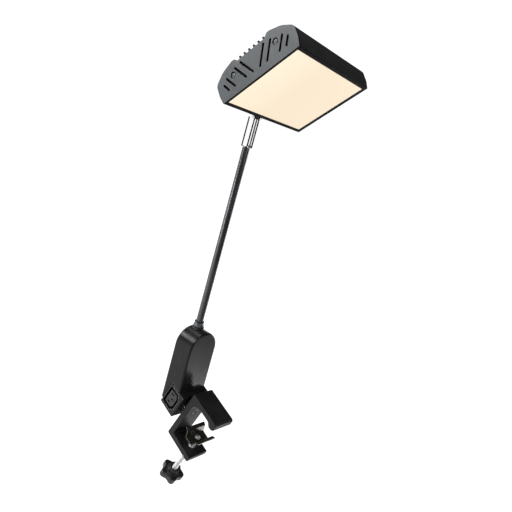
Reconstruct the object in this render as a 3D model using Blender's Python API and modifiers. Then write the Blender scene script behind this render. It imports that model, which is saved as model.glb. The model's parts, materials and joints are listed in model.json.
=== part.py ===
"""Screw-clamp arm lamp: table clamp, turning driver box, swivelling arm and tilting light panel.

World frame in metres: X along the panel's length, Z up the clamp's spine, -Y out of the clamp's jaws.
The origin is the centre of the flat lip under the upper jaw, which rests on the table top.
"""
import math

import bmesh
import bpy
from mathutils import Matrix, Vector

MM = 0.001
GAP = 0.3 * MM

# clamp bracket
CLAMP_WIDTH = 35 * MM
SPINE_INNER_Y = 39.5 * MM
SPINE_OUTER_Y = 48.3 * MM
JAW_TOP_Z = 12 * MM
SEAT_Z = 4.4 * MM
UPPER_TIP_Y = -6.2 * MM
LOWER_JAW_TOP_Z = -61.6 * MM
LOWER_JAW_BOTTOM_Z = -70 * MM
LOWER_TIP_Y = -3.4 * MM

# clamp screw, saddle and knob
SCREW_Y = 13.5 * MM
SCREW_RADIUS = 3.95 * MM
NECK_RADIUS = 2.5 * MM
SADDLE_BASE_Z = -47 * MM
SADDLE_WIDTH = 34 * MM
SHEET = 1.8 * MM
KNOB_TOP_Z = -121.5 * MM
KNOB_HEIGHT = 9.5 * MM
KNOB_MEAN_RADIUS = 16.2 * MM
KNOB_LOBE_HEIGHT = 2.2 * MM
KNOB_LOBES = 5
KNOB_COLLAR_HEIGHT = 5.5 * MM

# swivel between the clamp and the driver box
SWIVEL_Z = -21.6 * MM
SWIVEL_DISC_RADIUS = 17 * MM
SWIVEL_BOLT_RADIUS = 2.9 * MM

# socket housing, square to the clamp
SOCKET_FRONT_Y = 53.5 * MM
SOCKET_REAR_Y = 83.5 * MM
SOCKET_TOP_Z = -2.6 * MM
SOCKET_BOTTOM_Z = -40.6 * MM
BOX_WIDTH = 50 * MM
WALL = 2 * MM
MODULE_Y = 70 * MM
RECESS_LENGTH = 29 * MM
RECESS_HEIGHT = 22.5 * MM
MODULE_DEPTH = 15 * MM
MODULE_WALL = 1.2 * MM
POLE_SPACING = 14 * MM
EARTH_OFFSET = 1.95 * MM

# driver box, in the arm's frame: z runs up the arm from the box's crown, -y is the front
ARM_BASE = Vector((0, 114.5 * MM, 71.4 * MM))
ARM_TILT = math.radians(20.9)
BOX_FRONT = -20.3 * MM
BOX_REAR = 11.8 * MM
BOX_PARTING = -4 * MM
BOX_TAIL = -109 * MM
ARCH_RADIUS = BOX_WIDTH / 2

# arm
TUBE_RADIUS = 5 * MM
TUBE_BORE = 4 * MM
TUBE_TOP = 258 * MM
TUBE_BOTTOM = -16 * MM
COLLAR_RADIUS = 7.4 * MM
FORK_WIDTH = 11.5 * MM
FORK_DEPTH = 10.5 * MM
FORK_SLOT = 6.5 * MM
FORK_BASE = 8 * MM
PIVOT_HEIGHT = 300 * MM
HEAD_TILT = math.radians(49.8)

# light panel, in the head's frame: z away from the hinge, -y the way the light goes
PIVOT_TO_MIDDLE = 67.1 * MM
PIVOT_DEPTH = 13.5 * MM
PANEL_LENGTH = 150 * MM
CAP_THICKNESS = 2.5 * MM
WINDOW_HALF = 50.9 * MM
SCREW_PORT = (31.4 * MM, 23.2 * MM)
VENT_WIDTH = 2.2 * MM
FIN_PITCH = 7 * MM
FIN_COUNT = 6

MATERIALS = {
    "black_aluminium": ("#2b2c2e", 0.45, 0.6),
    "cap_grey": ("#4a4c4d", 0.5, 0.2),
    "black_nylon": ("#1c1c1e", 0.5, 0.0),
    "box_plastic": ("#2e2f33", 0.4, 0.0),
    "chrome": ("#e6e8ea", 0.12, 1.0),
    "zinc_steel": ("#c9ccce", 0.3, 1.0),
    "brass": ("#b58a45", 0.3, 1.0),
    "diffuser": ("#fff0dc", 0.5, 0.0),
    "white_plastic": ("#e9e9e6", 0.5, 0.0),
    "board_green": ("#1f5a36", 0.5, 0.0),
    "winding_tape": ("#c9a43a", 0.5, 0.0),
    "can_sleeve": ("#26324a", 0.4, 0.0),
    "lead_black": ("#151515", 0.6, 0.0),
}


def clear_scene():
    for old in list(bpy.data.objects):
        bpy.data.objects.remove(old, do_unlink=True)


def make_collection(name):
    made = bpy.data.collections.new(name)
    bpy.context.scene.collection.children.link(made)
    return made


def make_material(name, colour, roughness, metallic):
    made = bpy.data.materials.new(name)
    made.use_nodes = True
    shader = made.node_tree.nodes["Principled BSDF"]
    channels = [int(colour[i : i + 2], 16) / 255 for i in (1, 3, 5)]
    linear = [((c + 0.055) / 1.055) ** 2.4 if c > 0.04045 else c / 12.92 for c in channels]
    shader.inputs["Base Color"].default_value = (*linear, 1)
    shader.inputs["Roughness"].default_value = roughness
    shader.inputs["Metallic"].default_value = metallic
    return made


def make_frame(name, location, tilt, parent=None):
    """An empty whose X axis is the world's, turned about it by tilt."""
    frame = bpy.data.objects.new(name, None)
    frame.empty_display_size = 20 * MM
    parts.objects.link(frame)
    frame.parent = parent
    frame.location = location
    frame.rotation_euler = (tilt, 0, 0)
    return frame


# ---- outlines ----


def arc(centre, radius, start, end, steps):
    """Points along an arc, angles in degrees."""
    angles = [math.radians(start + (end - start) * i / steps) for i in range(steps + 1)]
    return [(centre[0] + radius * math.cos(a), centre[1] + radius * math.sin(a)) for a in angles]


def circle(centre, radius, steps=24):
    return arc(centre, radius, 0, 360, steps)[:-1]


def rounded(corners, steps=4):
    """A closed outline from (a, b, radius) corners; a corner with no radius stays sharp."""
    outline = []
    count = len(corners)
    for i, corner in enumerate(corners):
        here = Vector(corner[:2])
        radius = corner[2] if len(corner) > 2 else 0
        if radius == 0:
            outline.append(tuple(here))
            continue
        back = (Vector(corners[i - 1][:2]) - here).normalized()
        ahead = (Vector(corners[(i + 1) % count][:2]) - here).normalized()
        half = back.angle(ahead) / 2
        reach = radius / math.tan(half)
        middle = here + (back + ahead).normalized() * radius / math.sin(half)
        first = here + back * reach - middle
        sweep = math.pi - 2 * half
        turn = 1 if back.x * ahead.y - back.y * ahead.x < 0 else -1
        for k in range(steps + 1):
            point = first.copy()
            point.rotate(Matrix.Rotation(turn * sweep * k / steps, 2))
            outline.append(tuple(middle + point))
    return outline


def mirrored(half):
    """A symmetric outline from its +a half, first corner to last."""
    other = [(-corner[0], *corner[1:]) for corner in reversed(half)]
    return half + other


def slot(start, end, width, steps=4):
    """A round-ended slot between two centres."""
    run = Vector(end) - Vector(start)
    heading = math.degrees(math.atan2(run.y, run.x))
    far = arc(end, width / 2, heading - 90, heading + 90, steps)
    near = arc(start, width / 2, heading + 90, heading + 270, steps)
    return far + near


# ---- solids ----

# how an outline's two directions and its thickness direction lie in the frame
AXES = {
    "X": Matrix(((0, 0, 1), (1, 0, 0), (0, 1, 0))).to_4x4(),
    "Y": Matrix(((1, 0, 0), (0, 0, -1), (0, 1, 0))).to_4x4(),
    "Z": Matrix.Identity(4),
}


def link(name, mesh, frame, finish=None, smooth=False):
    """A finished part in the part collection, or a cutter when it has no finish."""
    made = bpy.data.objects.new(name, mesh)
    (parts if finish else cutters).objects.link(made)
    made.parent = frame
    if finish:
        mesh.materials.append(materials[finish])
    else:
        made.hide_render = True
        made.display_type = "WIRE"
    if smooth:
        mesh.shade_smooth()
        mesh.set_sharp_from_angle(angle=math.radians(35))
    return made


def prism(name, outlines, low, high, axis, frame, finish=None, smooth=False):
    """Closed outlines, the later ones holes in the first, extruded from low to high along axis."""
    curve = bpy.data.curves.new(name, "CURVE")
    curve.dimensions = "2D"
    curve.fill_mode = "BOTH"
    curve.extrude = (high - low) / 2
    for outline in outlines:
        spline = curve.splines.new("POLY")
        spline.points.add(len(outline) - 1)
        for point, (a, b) in zip(spline.points, outline):
            point.co = (a, b, 0, 1)
        spline.use_cyclic_u = True
    holder = bpy.data.objects.new(name + "_curve", curve)
    cutters.objects.link(holder)
    graph = bpy.context.evaluated_depsgraph_get()
    mesh = bpy.data.meshes.new_from_object(holder.evaluated_get(graph))
    bpy.data.objects.remove(holder)
    middle = (low + high) / 2
    lift = -middle if axis == "Y" else middle
    mesh.transform(AXES[axis] @ Matrix.Translation((0, 0, lift)))
    weld = bmesh.new()
    weld.from_mesh(mesh)
    bmesh.ops.remove_doubles(weld, verts=weld.verts, dist=0.001 * MM)
    bmesh.ops.recalc_face_normals(weld, faces=weld.faces)
    weld.to_mesh(mesh)
    weld.free()
    mesh.name = name
    return link(name, mesh, frame, finish, smooth)


def box(name, low, high, frame, finish=None):
    mesh = bpy.data.meshes.new(name)
    cube = bmesh.new()
    bmesh.ops.create_cube(cube, size=1)
    low, high = Vector(low), Vector(high)
    bmesh.ops.scale(cube, vec=high - low, verts=cube.verts)
    bmesh.ops.translate(cube, vec=(low + high) / 2, verts=cube.verts)
    cube.to_mesh(mesh)
    cube.free()
    return link(name, mesh, frame, finish)


def turned(name, profile, frame, finish=None, axis="Z", centre=(0, 0, 0), steps=24):
    """A solid of revolution: (radius, height) from top to bottom down its outer side."""
    mesh = bpy.data.meshes.new(name)
    wire = bmesh.new()
    verts = [wire.verts.new((radius, 0, height)) for radius, height in profile]
    for first, second in zip(verts, verts[1:]):
        wire.edges.new((first, second))
    if profile[0][0] > 0:
        wire.edges.new((verts[-1], verts[0]))
    wire.to_mesh(mesh)
    wire.free()
    made = link(name, mesh, frame, finish)
    screw = made.modifiers.new("turn", "SCREW")
    screw.steps = steps
    screw.render_steps = steps
    screw.use_merge_vertices = True
    screw.merge_threshold = 0.01 * MM
    made.location = centre
    if axis == "X":
        made.rotation_euler = (0, math.radians(90), 0)
    if axis == "Y":
        made.rotation_euler = (math.radians(-90), 0, 0)
    mesh.shade_smooth()
    mesh.set_sharp_from_angle(angle=math.radians(35))
    return made


def bevel(target, width, segments=2, angle=50):
    edge = target.modifiers.new("edge", "BEVEL")
    edge.width = width
    edge.segments = segments
    edge.limit_method = "ANGLE"
    edge.angle_limit = math.radians(angle)
    return target


def join(target, *others, operation="DIFFERENCE"):
    for other in others:
        change = target.modifiers.new(operation.lower(), "BOOLEAN")
        change.operation = operation
        change.object = other
    return target


def fastener(name, profile, frame, place, turn, steps=16):
    """A turned piece whose upright axis is turned by an Euler rotation in degrees."""
    made = turned(name, profile, frame, "zinc_steel", centre=place, steps=steps)
    made.rotation_euler = [math.radians(angle) for angle in turn]
    return made


def screw_profile(head_radius, head_height, shank_radius, length):
    """Pan head above zero, shank below."""
    return [
        (0, head_height),
        (head_radius * 0.7, head_height),
        (head_radius, head_height * 0.45),
        (head_radius, 0),
        (shank_radius, 0),
        (shank_radius, -length + shank_radius * 0.6),
        (shank_radius * 0.5, -length),
        (0, -length),
    ]


# ---- clamp ----


def build_clamp():
    outline = rounded(
        [
            (SPINE_OUTER_Y, JAW_TOP_Z, 1.2 * MM),
            (UPPER_TIP_Y, JAW_TOP_Z, 3.5 * MM),
            (UPPER_TIP_Y, 2.8 * MM, 1.2 * MM),
            (-2.6 * MM, 0, 1 * MM),
            (2.6 * MM, 0, 1.5 * MM),
            (7.5 * MM, SEAT_Z, 3 * MM),
            (SPINE_INNER_Y, SEAT_Z, 14 * MM),
            (SPINE_INNER_Y, LOWER_JAW_TOP_Z, 1.5 * MM),
            (LOWER_TIP_Y, LOWER_JAW_TOP_Z, 1 * MM),
            (LOWER_TIP_Y, LOWER_JAW_BOTTOM_Z, 2.5 * MM),
            (SPINE_OUTER_Y, LOWER_JAW_BOTTOM_Z, 2 * MM),
        ]
    )
    half = CLAMP_WIDTH / 2
    span = (-half, half)
    bracket = prism("clamp_bracket", [outline], *span, "X", clamp_frame, "black_aluminium", True)
    bevel(bracket, 0.5 * MM, 1)
    bolt_hole = turned(
        "cut_swivel_hole",
        [
            (6.1 * MM, -1 * MM),
            (6.1 * MM, 0.4 * MM),
            (SWIVEL_BOLT_RADIUS + GAP, 3.6 * MM),
            (SWIVEL_BOLT_RADIUS + GAP, 12 * MM),
            (0, 12 * MM),
            (0, -1 * MM),
        ][::-1],
        clamp_frame,
        axis="Y",
        centre=(0, SPINE_INNER_Y, SWIVEL_Z),
    )
    screw_hole = turned(
        "cut_screw_hole",
        [(0, -55 * MM), (5.8 * MM, -55 * MM), (5.8 * MM, -75 * MM), (0, -75 * MM)],
        clamp_frame,
        centre=(0, SCREW_Y, 0),
    )
    join(bracket, bolt_hole, screw_hole)
    bore = SCREW_RADIUS + GAP
    turned(
        "thread_insert",
        [
            (bore, LOWER_JAW_TOP_Z - 0.2 * MM),
            (5.5 * MM, LOWER_JAW_TOP_Z - 0.2 * MM),
            (5.5 * MM, LOWER_JAW_BOTTOM_Z - GAP),
            (7.5 * MM, LOWER_JAW_BOTTOM_Z - GAP),
            (7.5 * MM, LOWER_JAW_BOTTOM_Z - 1.4 * MM),
            (bore, LOWER_JAW_BOTTOM_Z - 1.4 * MM),
        ],
        clamp_frame,
        "zinc_steel",
        centre=(0, SCREW_Y, 0),
    )


def build_swivel():
    """A toothed spacer disc, a countersunk bolt from inside the jaws, its washer and its nut."""
    disc_low = SPINE_OUTER_Y + GAP
    disc_high = SOCKET_FRONT_Y - GAP
    teeth = 24
    rim = []
    for i in range(teeth):
        for share, radius in ((0.0, 0.95), (0.25, 1.0), (0.7, 1.0), (0.95, 0.95)):
            angle = 2 * math.pi * (i + share) / teeth
            reach = SWIVEL_DISC_RADIUS * radius
            rim.append((reach * math.cos(angle), SWIVEL_Z + reach * math.sin(angle)))
    hole = circle((0, SWIVEL_Z), SWIVEL_BOLT_RADIUS + GAP)
    prism("swivel_disc", [rim, hole], disc_low, disc_high, "Y", clamp_frame, "black_nylon")
    bolt = turned(
        "swivel_bolt",
        [
            (0, -0.2 * MM),
            (5.7 * MM, -0.2 * MM),
            (5.7 * MM, -0.6 * MM),
            (SWIVEL_BOLT_RADIUS, -3.4 * MM),
            (SWIVEL_BOLT_RADIUS, -24 * MM),
            (0, -24 * MM),
        ],
        clamp_frame,
        "zinc_steel",
        axis="Y",
        centre=(0, SPINE_INNER_Y, SWIVEL_Z),
    )
    bolt.rotation_euler = (math.radians(90), 0, 0)
    hexagon = circle((0, SWIVEL_Z), 2.3 * MM, 6)
    key_reach = (SPINE_INNER_Y - 1 * MM, SPINE_INNER_Y + 2.4 * MM)
    join(bolt, prism("cut_hex_key", [hexagon], *key_reach, "Y", clamp_frame))
    inside = SOCKET_FRONT_Y + WALL
    ring = circle((0, SWIVEL_Z), 6.5 * MM)
    thick = (inside + GAP, inside + 1.5 * MM)
    prism("swivel_washer", [ring, hole], *thick, "Y", clamp_frame, "zinc_steel")
    nut = circle((0, SWIVEL_Z), 5.7 * MM, 6)
    prism("swivel_nut", [nut, hole], inside + 1.8 * MM, inside + 6.6 * MM, "Y", clamp_frame, "zinc_steel")


def build_screw_and_saddle():
    half = SADDLE_WIDTH / 2
    lip, wall, floor = 15 * MM, 11 * MM, 7.3 * MM
    top = SADDLE_BASE_Z + 11.5 * MM
    bend = SADDLE_BASE_Z + 10 * MM
    right = [(floor, SADDLE_BASE_Z, 2 * MM), (wall, bend, 2.5 * MM), (lip, top, 0.4 * MM)]
    rise = SHEET * 1.02
    above = [
        (lip - 0.8 * MM, top + SHEET, 0.4 * MM),
        (wall - 1.5 * MM, bend + SHEET * 0.72, 1.5 * MM),
        (floor - 1 * MM, SADDLE_BASE_Z + rise, 1 * MM),
    ]
    outline = right + above
    outline = outline + [(-a, b, r) for a, b, r in reversed(outline)]
    shape = [(SCREW_Y + a, b) for a, b in rounded(outline)]
    saddle = prism("saddle", [shape], -half, half, "X", lift_frame, "black_aluminium", True)
    saddle.location = -lift_frame.location
    hole = turned(
        "cut_saddle_hole",
        [(0, 5 * MM), (NECK_RADIUS + GAP, 5 * MM), (NECK_RADIUS + GAP, -5 * MM), (0, -5 * MM)],
        lift_frame,
    )
    join(saddle, hole)
    turned(
        "saddle_clip",
        [
            (NECK_RADIUS + GAP, 3.2 * MM),
            (5 * MM, 3.2 * MM),
            (5 * MM, 2.2 * MM),
            (NECK_RADIUS + GAP, 2.2 * MM),
        ],
        lift_frame,
        "zinc_steel",
    )
    knob_end = KNOB_TOP_Z - KNOB_HEIGHT + 1.5 * MM - SADDLE_BASE_Z
    turned(
        "clamp_screw",
        [
            (0, 4.2 * MM),
            (NECK_RADIUS - 0.6 * MM, 4.2 * MM),
            (NECK_RADIUS, 3.6 * MM),
            (NECK_RADIUS, -GAP),
            (SCREW_RADIUS - 0.6 * MM, -GAP),
            (SCREW_RADIUS, -0.9 * MM),
            (SCREW_RADIUS, knob_end),
            (0, knob_end),
        ],
        turn_frame,
        "zinc_steel",
    )


def build_knob():
    steps = KNOB_LOBES * 9
    star = []
    for i in range(steps):
        angle = 2 * math.pi * i / steps
        lobe = math.cos(KNOB_LOBES * (angle - math.radians(21)))
        radius = KNOB_MEAN_RADIUS + KNOB_LOBE_HEIGHT * lobe
        star.append((radius * math.cos(angle), radius * math.sin(angle)))
    top = KNOB_TOP_Z - SADDLE_BASE_Z
    knob = prism("knob", [star], top - KNOB_HEIGHT, top, "Z", turn_frame, "black_nylon", True)
    bevel(knob, 1.6 * MM, 1)
    collar = turned(
        "join_knob_collar",
        [
            (0, top + KNOB_COLLAR_HEIGHT),
            (6.6 * MM, top + KNOB_COLLAR_HEIGHT),
            (7.2 * MM, top + KNOB_COLLAR_HEIGHT - 0.6 * MM),
            (7.2 * MM, top + 3 * MM),
            (8.6 * MM, top + 2.6 * MM),
            (8.6 * MM, top - 1 * MM),
            (0, top - 1 * MM),
        ],
        turn_frame,
    )
    bore_end = top - KNOB_HEIGHT + 1.2 * MM
    bore = turned(
        "cut_knob_bore",
        [
            (0, top + 9 * MM),
            (SCREW_RADIUS + GAP, top + 9 * MM),
            (SCREW_RADIUS + GAP, bore_end),
            (0, bore_end),
        ],
        turn_frame,
    )
    join(knob, collar, operation="UNION")
    join(knob, bore)
    base = top - KNOB_HEIGHT - GAP
    turned(
        "knob_cap",
        [
            (0, base),
            (7 * MM, base),
            (7 * MM, base - 0.8 * MM),
            (6.2 * MM, base - 1.3 * MM),
            (0, base - 1.3 * MM),
        ],
        turn_frame,
        "black_nylon",
    )


# ---- socket housing and its mains outlet and inlet ----


def socket_outline(length, height, cut, middle_y=MODULE_Y):
    """The shape of the mains connector: its two corners on the earth side are cut."""
    corners = [
        (middle_y + height / 2, SWIVEL_Z + length / 2, 2.5 * MM),
        (middle_y - height / 2 + cut, SWIVEL_Z + length / 2, 0.6 * MM),
        (middle_y - height / 2, SWIVEL_Z + length / 2 - cut, 0.6 * MM),
        (middle_y - height / 2, SWIVEL_Z - length / 2 + cut, 0.6 * MM),
        (middle_y - height / 2 + cut, SWIVEL_Z - length / 2, 0.6 * MM),
        (middle_y + height / 2, SWIVEL_Z - length / 2, 2.5 * MM),
    ]
    return rounded(corners, 2)


def module_outline():
    """The outside of the outlet's and the inlet's shells."""
    length = RECESS_LENGTH + 2 * MODULE_WALL
    height = RECESS_HEIGHT + 2 * MODULE_WALL
    return socket_outline(length, height, 6.3 * MM)


def poles(length_y, length_z):
    """The three contact places: line, neutral and the offset earth."""
    places = [(EARTH_OFFSET, POLE_SPACING / 2), (EARTH_OFFSET, -POLE_SPACING / 2), (-EARTH_OFFSET, 0)]
    loops = []
    for offset_y, offset_z in places:
        y, z = MODULE_Y + offset_y, SWIVEL_Z + offset_z
        corners = [
            (y + length_y / 2, z + length_z / 2),
            (y - length_y / 2, z + length_z / 2),
            (y - length_y / 2, z - length_z / 2),
            (y + length_y / 2, z - length_z / 2),
        ]
        loops.append(corners)
    return loops


def build_socket_housing():
    half = BOX_WIDTH / 2
    low = (-half, SOCKET_FRONT_Y, SOCKET_BOTTOM_Z)
    high = (half, SOCKET_REAR_Y, SOCKET_TOP_Z)
    housing = box("socket_housing", low, high, swivel_world, "box_plastic")
    bevel(housing, 1 * MM, 2)
    inner_low = (-half + WALL, SOCKET_FRONT_Y + WALL, SOCKET_BOTTOM_Z + WALL)
    inner_high = (half - WALL, SOCKET_REAR_Y - WALL, SOCKET_TOP_Z - WALL)
    cavity = box("cut_socket_cavity", inner_low, inner_high, swivel_world)
    margin = 2 * MODULE_WALL + 2 * GAP
    shell = socket_outline(RECESS_LENGTH + margin, RECESS_HEIGHT + margin, 6.4 * MM)
    through = (-half - 5 * MM, half + 5 * MM)
    module_hole = prism("cut_module_holes", [shell], *through, "X", swivel_world)
    bolt_loop = circle((0, SWIVEL_Z), SWIVEL_BOLT_RADIUS + GAP)
    bolt_hole = prism("cut_bolt_hole", [bolt_loop], 50 * MM, 60 * MM, "Y", swivel_world)
    lead_loop = circle((0, 72 * MM), 4 * MM, 16)
    roof = (SOCKET_TOP_Z - 5 * MM, SOCKET_TOP_Z + 5 * MM)
    lead_hole = prism("cut_lead_hole", [lead_loop], *roof, "Z", swivel_world)
    join(housing, cavity, module_hole, bolt_hole, lead_hole)


def build_outlet():
    face = -BOX_WIDTH / 2
    back = face + MODULE_DEPTH
    shell = module_outline()
    recess = socket_outline(RECESS_LENGTH, RECESS_HEIGHT, 5.8 * MM)
    outlet = prism("outlet_shell", [shell], face + 0.2 * MM, back, "X", swivel_world, "black_nylon")
    cut = prism("cut_outlet_recess", [recess], face - 2 * MM, back - 2 * MM, "X", swivel_world)
    tongue = socket_outline(RECESS_LENGTH - 7.4 * MM, RECESS_HEIGHT - 6.8 * MM, 3.6 * MM)
    block = prism("join_outlet_tongue", [tongue], face + 1 * MM, back - 1 * MM, "X", swivel_world)
    join(outlet, cut)
    join(outlet, block, operation="UNION")
    for i, loop in enumerate(poles(4.8 * MM, 2.4 * MM)):
        through = (face - 2 * MM, back + 2 * MM)
        join(outlet, prism(f"cut_outlet_slot_{i}", [loop], *through, "X", swivel_world))
    build_contacts("outlet_contacts", face + 6 * MM, back + 3 * MM, back + GAP, back + 2 * MM)


def build_inlet():
    face = BOX_WIDTH / 2
    back = face - MODULE_DEPTH
    recess = socket_outline(RECESS_LENGTH - 3.6 * MM, RECESS_HEIGHT - 4 * MM, 4.6 * MM)
    span = (back, face - 0.2 * MM)
    inlet = prism("inlet_shell", [module_outline()], *span, "X", swivel_world, "black_nylon")
    cut = prism("cut_inlet_recess", [recess], back + 1.4 * MM, face + 2 * MM, "X", swivel_world)
    join(inlet, cut)
    for i, loop in enumerate(poles(4.6 * MM, 2.6 * MM)):
        through = (back - 2 * MM, back + 3 * MM)
        join(inlet, prism(f"cut_inlet_slot_{i}", [loop], *through, "X", swivel_world))
    build_contacts("inlet_pins", back - 3 * MM, face - 2.5 * MM, back - 2 * MM, back - GAP)


def build_contacts(name, low, high, bar_low, bar_high):
    """Three blades on one insulating bar behind the module."""
    across = POLE_SPACING / 2 + 2.5 * MM
    bar_from = (bar_low, MODULE_Y - 5 * MM, SWIVEL_Z - across)
    bar_to = (bar_high, MODULE_Y + 5 * MM, SWIVEL_Z + across)
    bar = box(name, bar_from, bar_to, swivel_world, "brass")
    for i, loop in enumerate(poles(4 * MM, 1.9 * MM)):
        join(bar, prism(f"join_{name}_{i}", [loop], low, high, "X", swivel_world), operation="UNION")


# ---- driver box ----


def arch_outline(inset, bottom):
    """The box seen from the front: a half round crown on straight sides."""
    radius = ARCH_RADIUS - inset
    crown = arc((0, -ARCH_RADIUS), radius, 0, 180, 20)
    return crown + [(-radius, bottom), (radius, bottom)]


def build_driver_box():
    far = 40 * MM
    shaft = circle((0, 0), 8 * MM)
    cuts = {
        "rear_housing": (BOX_PARTING - far, BOX_PARTING + GAP / 2),
        "front_housing": (BOX_PARTING - GAP / 2, BOX_PARTING + far),
    }
    places = [(side * 18.5 * MM, height) for side in (-1, 1) for height in (-30 * MM, -68 * MM)]
    for name, (cut_low, cut_high) in cuts.items():
        outline = arch_outline(0, BOX_TAIL)
        shell = prism(name, [outline], BOX_FRONT, BOX_REAR, "Y", box_frame, "box_plastic", True)
        bevel(shell, 2.2 * MM, 3, 60)
        inner = arch_outline(WALL, -130 * MM)
        inside = (BOX_FRONT + WALL, BOX_REAR - WALL)
        cavity = prism(f"cut_{name}_cavity", [inner], *inside, "Y", box_frame)
        side_low = (-far, cut_low, BOX_TAIL - far)
        far_side = box(f"cut_{name}_side", side_low, (far, cut_high, far), box_frame)
        foot_low = (-far, SOCKET_FRONT_Y - GAP, SOCKET_BOTTOM_Z - far)
        foot_high = (far, SOCKET_REAR_Y + GAP, SOCKET_TOP_Z + GAP)
        foot = box(f"cut_{name}_foot", foot_low, foot_high, swivel_world)
        hole = prism(f"cut_{name}_neck", [shaft], -12 * MM, 5 * MM, "Z", box_frame)
        join(shell, cavity, far_side, foot, hole)
        rear = name == "rear_housing"
        rear_span = (BOX_PARTING + GAP, BOX_REAR - 1 * MM)
        span = rear_span if rear else (BOX_FRONT + 1 * MM, BOX_PARTING - GAP)
        bore = 1.7 * MM if rear else 1.4 * MM
        reach = (-60 * MM, 60 * MM) if rear else (BOX_FRONT + 4 * MM, 20 * MM)
        for i, place in enumerate(places):
            post_loop, bolt_loop = circle(place, 3 * MM, 16), circle(place, bore, 12)
            post = prism(f"join_{name}_post_{i}", [post_loop], *span, "Y", box_frame)
            bolt = prism(f"cut_{name}_bolt_{i}", [bolt_loop], *reach, "Y", box_frame)
            join(shell, post, operation="UNION")
            join(shell, bolt)
    profile = screw_profile(2.8 * MM, 1.8 * MM, 1.1 * MM, 26 * MM)
    for i, (x, z) in enumerate(places):
        seat = (x, BOX_REAR + GAP, z)
        fastener(f"housing_screw_{i + 1}", profile, box_frame, seat, (-90, 0, 0))


def build_driver():
    board_y = 5 * MM
    board_thickness = 1.6 * MM
    pad_low = (-12 * MM, board_y + board_thickness + GAP, -68 * MM)
    pad_high = (12 * MM, BOX_REAR - WALL - GAP, -34 * MM)
    box("board_pad", pad_low, pad_high, box_frame, "white_plastic")
    board_high = (14 * MM, board_y + board_thickness, -28 * MM)
    box("driver_board", (-14 * MM, board_y, -72 * MM), board_high, box_frame, "board_green")
    front = board_y - GAP
    core_low = (-11 * MM, front - 13 * MM, -56 * MM)
    core = box("transformer", core_low, (7 * MM, front, -40 * MM), box_frame, "winding_tape")
    bevel(core, 1.2 * MM, 1)
    for side, x in (("left", -7 * MM), ("right", 4 * MM)):
        can = [(0, 0), (4 * MM, 0), (4 * MM, -12 * MM), (0, -12 * MM)]
        foot = (x, front, -64 * MM)
        made = turned(f"capacitor_{side}", can, box_frame, "can_sleeve", centre=foot, steps=20)
        made.rotation_euler = (math.radians(-90), 0, 0)
    block_low = (-9 * MM, front - 8 * MM, -37 * MM)
    box("terminal_block", block_low, (9 * MM, front, -30 * MM), box_frame, "white_plastic")


# ---- arm ----


def build_arm():
    bore = TUBE_RADIUS + GAP
    turned(
        "arm_bush",
        [
            (bore, 2.3 * MM),
            (8.6 * MM, 2.3 * MM),
            (8.6 * MM, 0.9 * MM),
            (7.7 * MM, 0.9 * MM),
            (7.7 * MM, -8 * MM),
            (bore, -8 * MM),
        ],
        box_frame,
        "black_nylon",
    )
    turned(
        "collar_nut",
        [
            (bore, 8.4 * MM),
            (COLLAR_RADIUS - 1.2 * MM, 8.4 * MM),
            (COLLAR_RADIUS - 0.8 * MM, 6 * MM),
            (COLLAR_RADIUS, 4.4 * MM),
            (COLLAR_RADIUS, 2.6 * MM),
            (bore, 2.6 * MM),
        ],
        box_frame,
        "zinc_steel",
    )
    turned(
        "collar_ring",
        [(bore, 10.4 * MM), (6.8 * MM, 10.4 * MM), (6.8 * MM, 8.7 * MM), (bore, 8.7 * MM)],
        arm_frame,
        "black_nylon",
    )
    turned(
        "arm_tube",
        [
            (TUBE_BORE, TUBE_TOP),
            (TUBE_RADIUS, TUBE_TOP),
            (TUBE_RADIUS, TUBE_BOTTOM),
            (TUBE_BORE, TUBE_BOTTOM),
        ],
        arm_frame,
        "black_aluminium",
    )
    turned(
        "arm_retainer",
        [(bore, -9 * MM), (7.2 * MM, -9 * MM), (7.2 * MM, -13 * MM), (bore, -13 * MM)],
        arm_frame,
        "zinc_steel",
    )
    lead = [(0, TUBE_TOP - 1 * MM), (1.7 * MM, TUBE_TOP - 1 * MM), (1.7 * MM, -22 * MM), (0, -22 * MM)]
    turned("arm_lead", lead, arm_frame, "lead_black", steps=12)


def build_fork():
    """A slotted block on a stem that plugs into the tube."""
    depth = FORK_DEPTH / 2
    base = TUBE_TOP + GAP
    foot = [(-depth, PIVOT_HEIGHT), (-depth, base, 1 * MM), (depth, base, 1 * MM), (depth, PIVOT_HEIGHT)]
    crown = arc((0, PIVOT_HEIGHT), depth, 0, 180, 12)
    outline = rounded(foot, 3)[:-1] + crown[:-1]
    hole = circle((0, PIVOT_HEIGHT), 2.7 * MM)
    half = FORK_WIDTH / 2
    fork = prism("fork", [outline, hole], -half, half, "X", arm_frame, "chrome")
    bevel(fork, 0.5 * MM, 1)
    slot_low = (-FORK_SLOT / 2, -20 * MM, TUBE_TOP + FORK_BASE)
    gap = box("cut_fork_slot", slot_low, (FORK_SLOT / 2, 20 * MM, 340 * MM), arm_frame)
    stem_end = TUBE_TOP - 14 * MM
    stem_radius = TUBE_BORE - GAP
    stem = turned(
        "join_fork_stem",
        [(0, base + 2 * MM), (stem_radius, base + 2 * MM), (stem_radius, stem_end), (0, stem_end)],
        arm_frame,
    )
    way = turned(
        "cut_fork_way",
        [(0, 280 * MM), (2.1 * MM, 280 * MM), (2.1 * MM, 200 * MM), (0, 200 * MM)],
        arm_frame,
        steps=20,
    )
    join(fork, gap)
    join(fork, stem, operation="UNION")
    join(fork, way)


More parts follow.
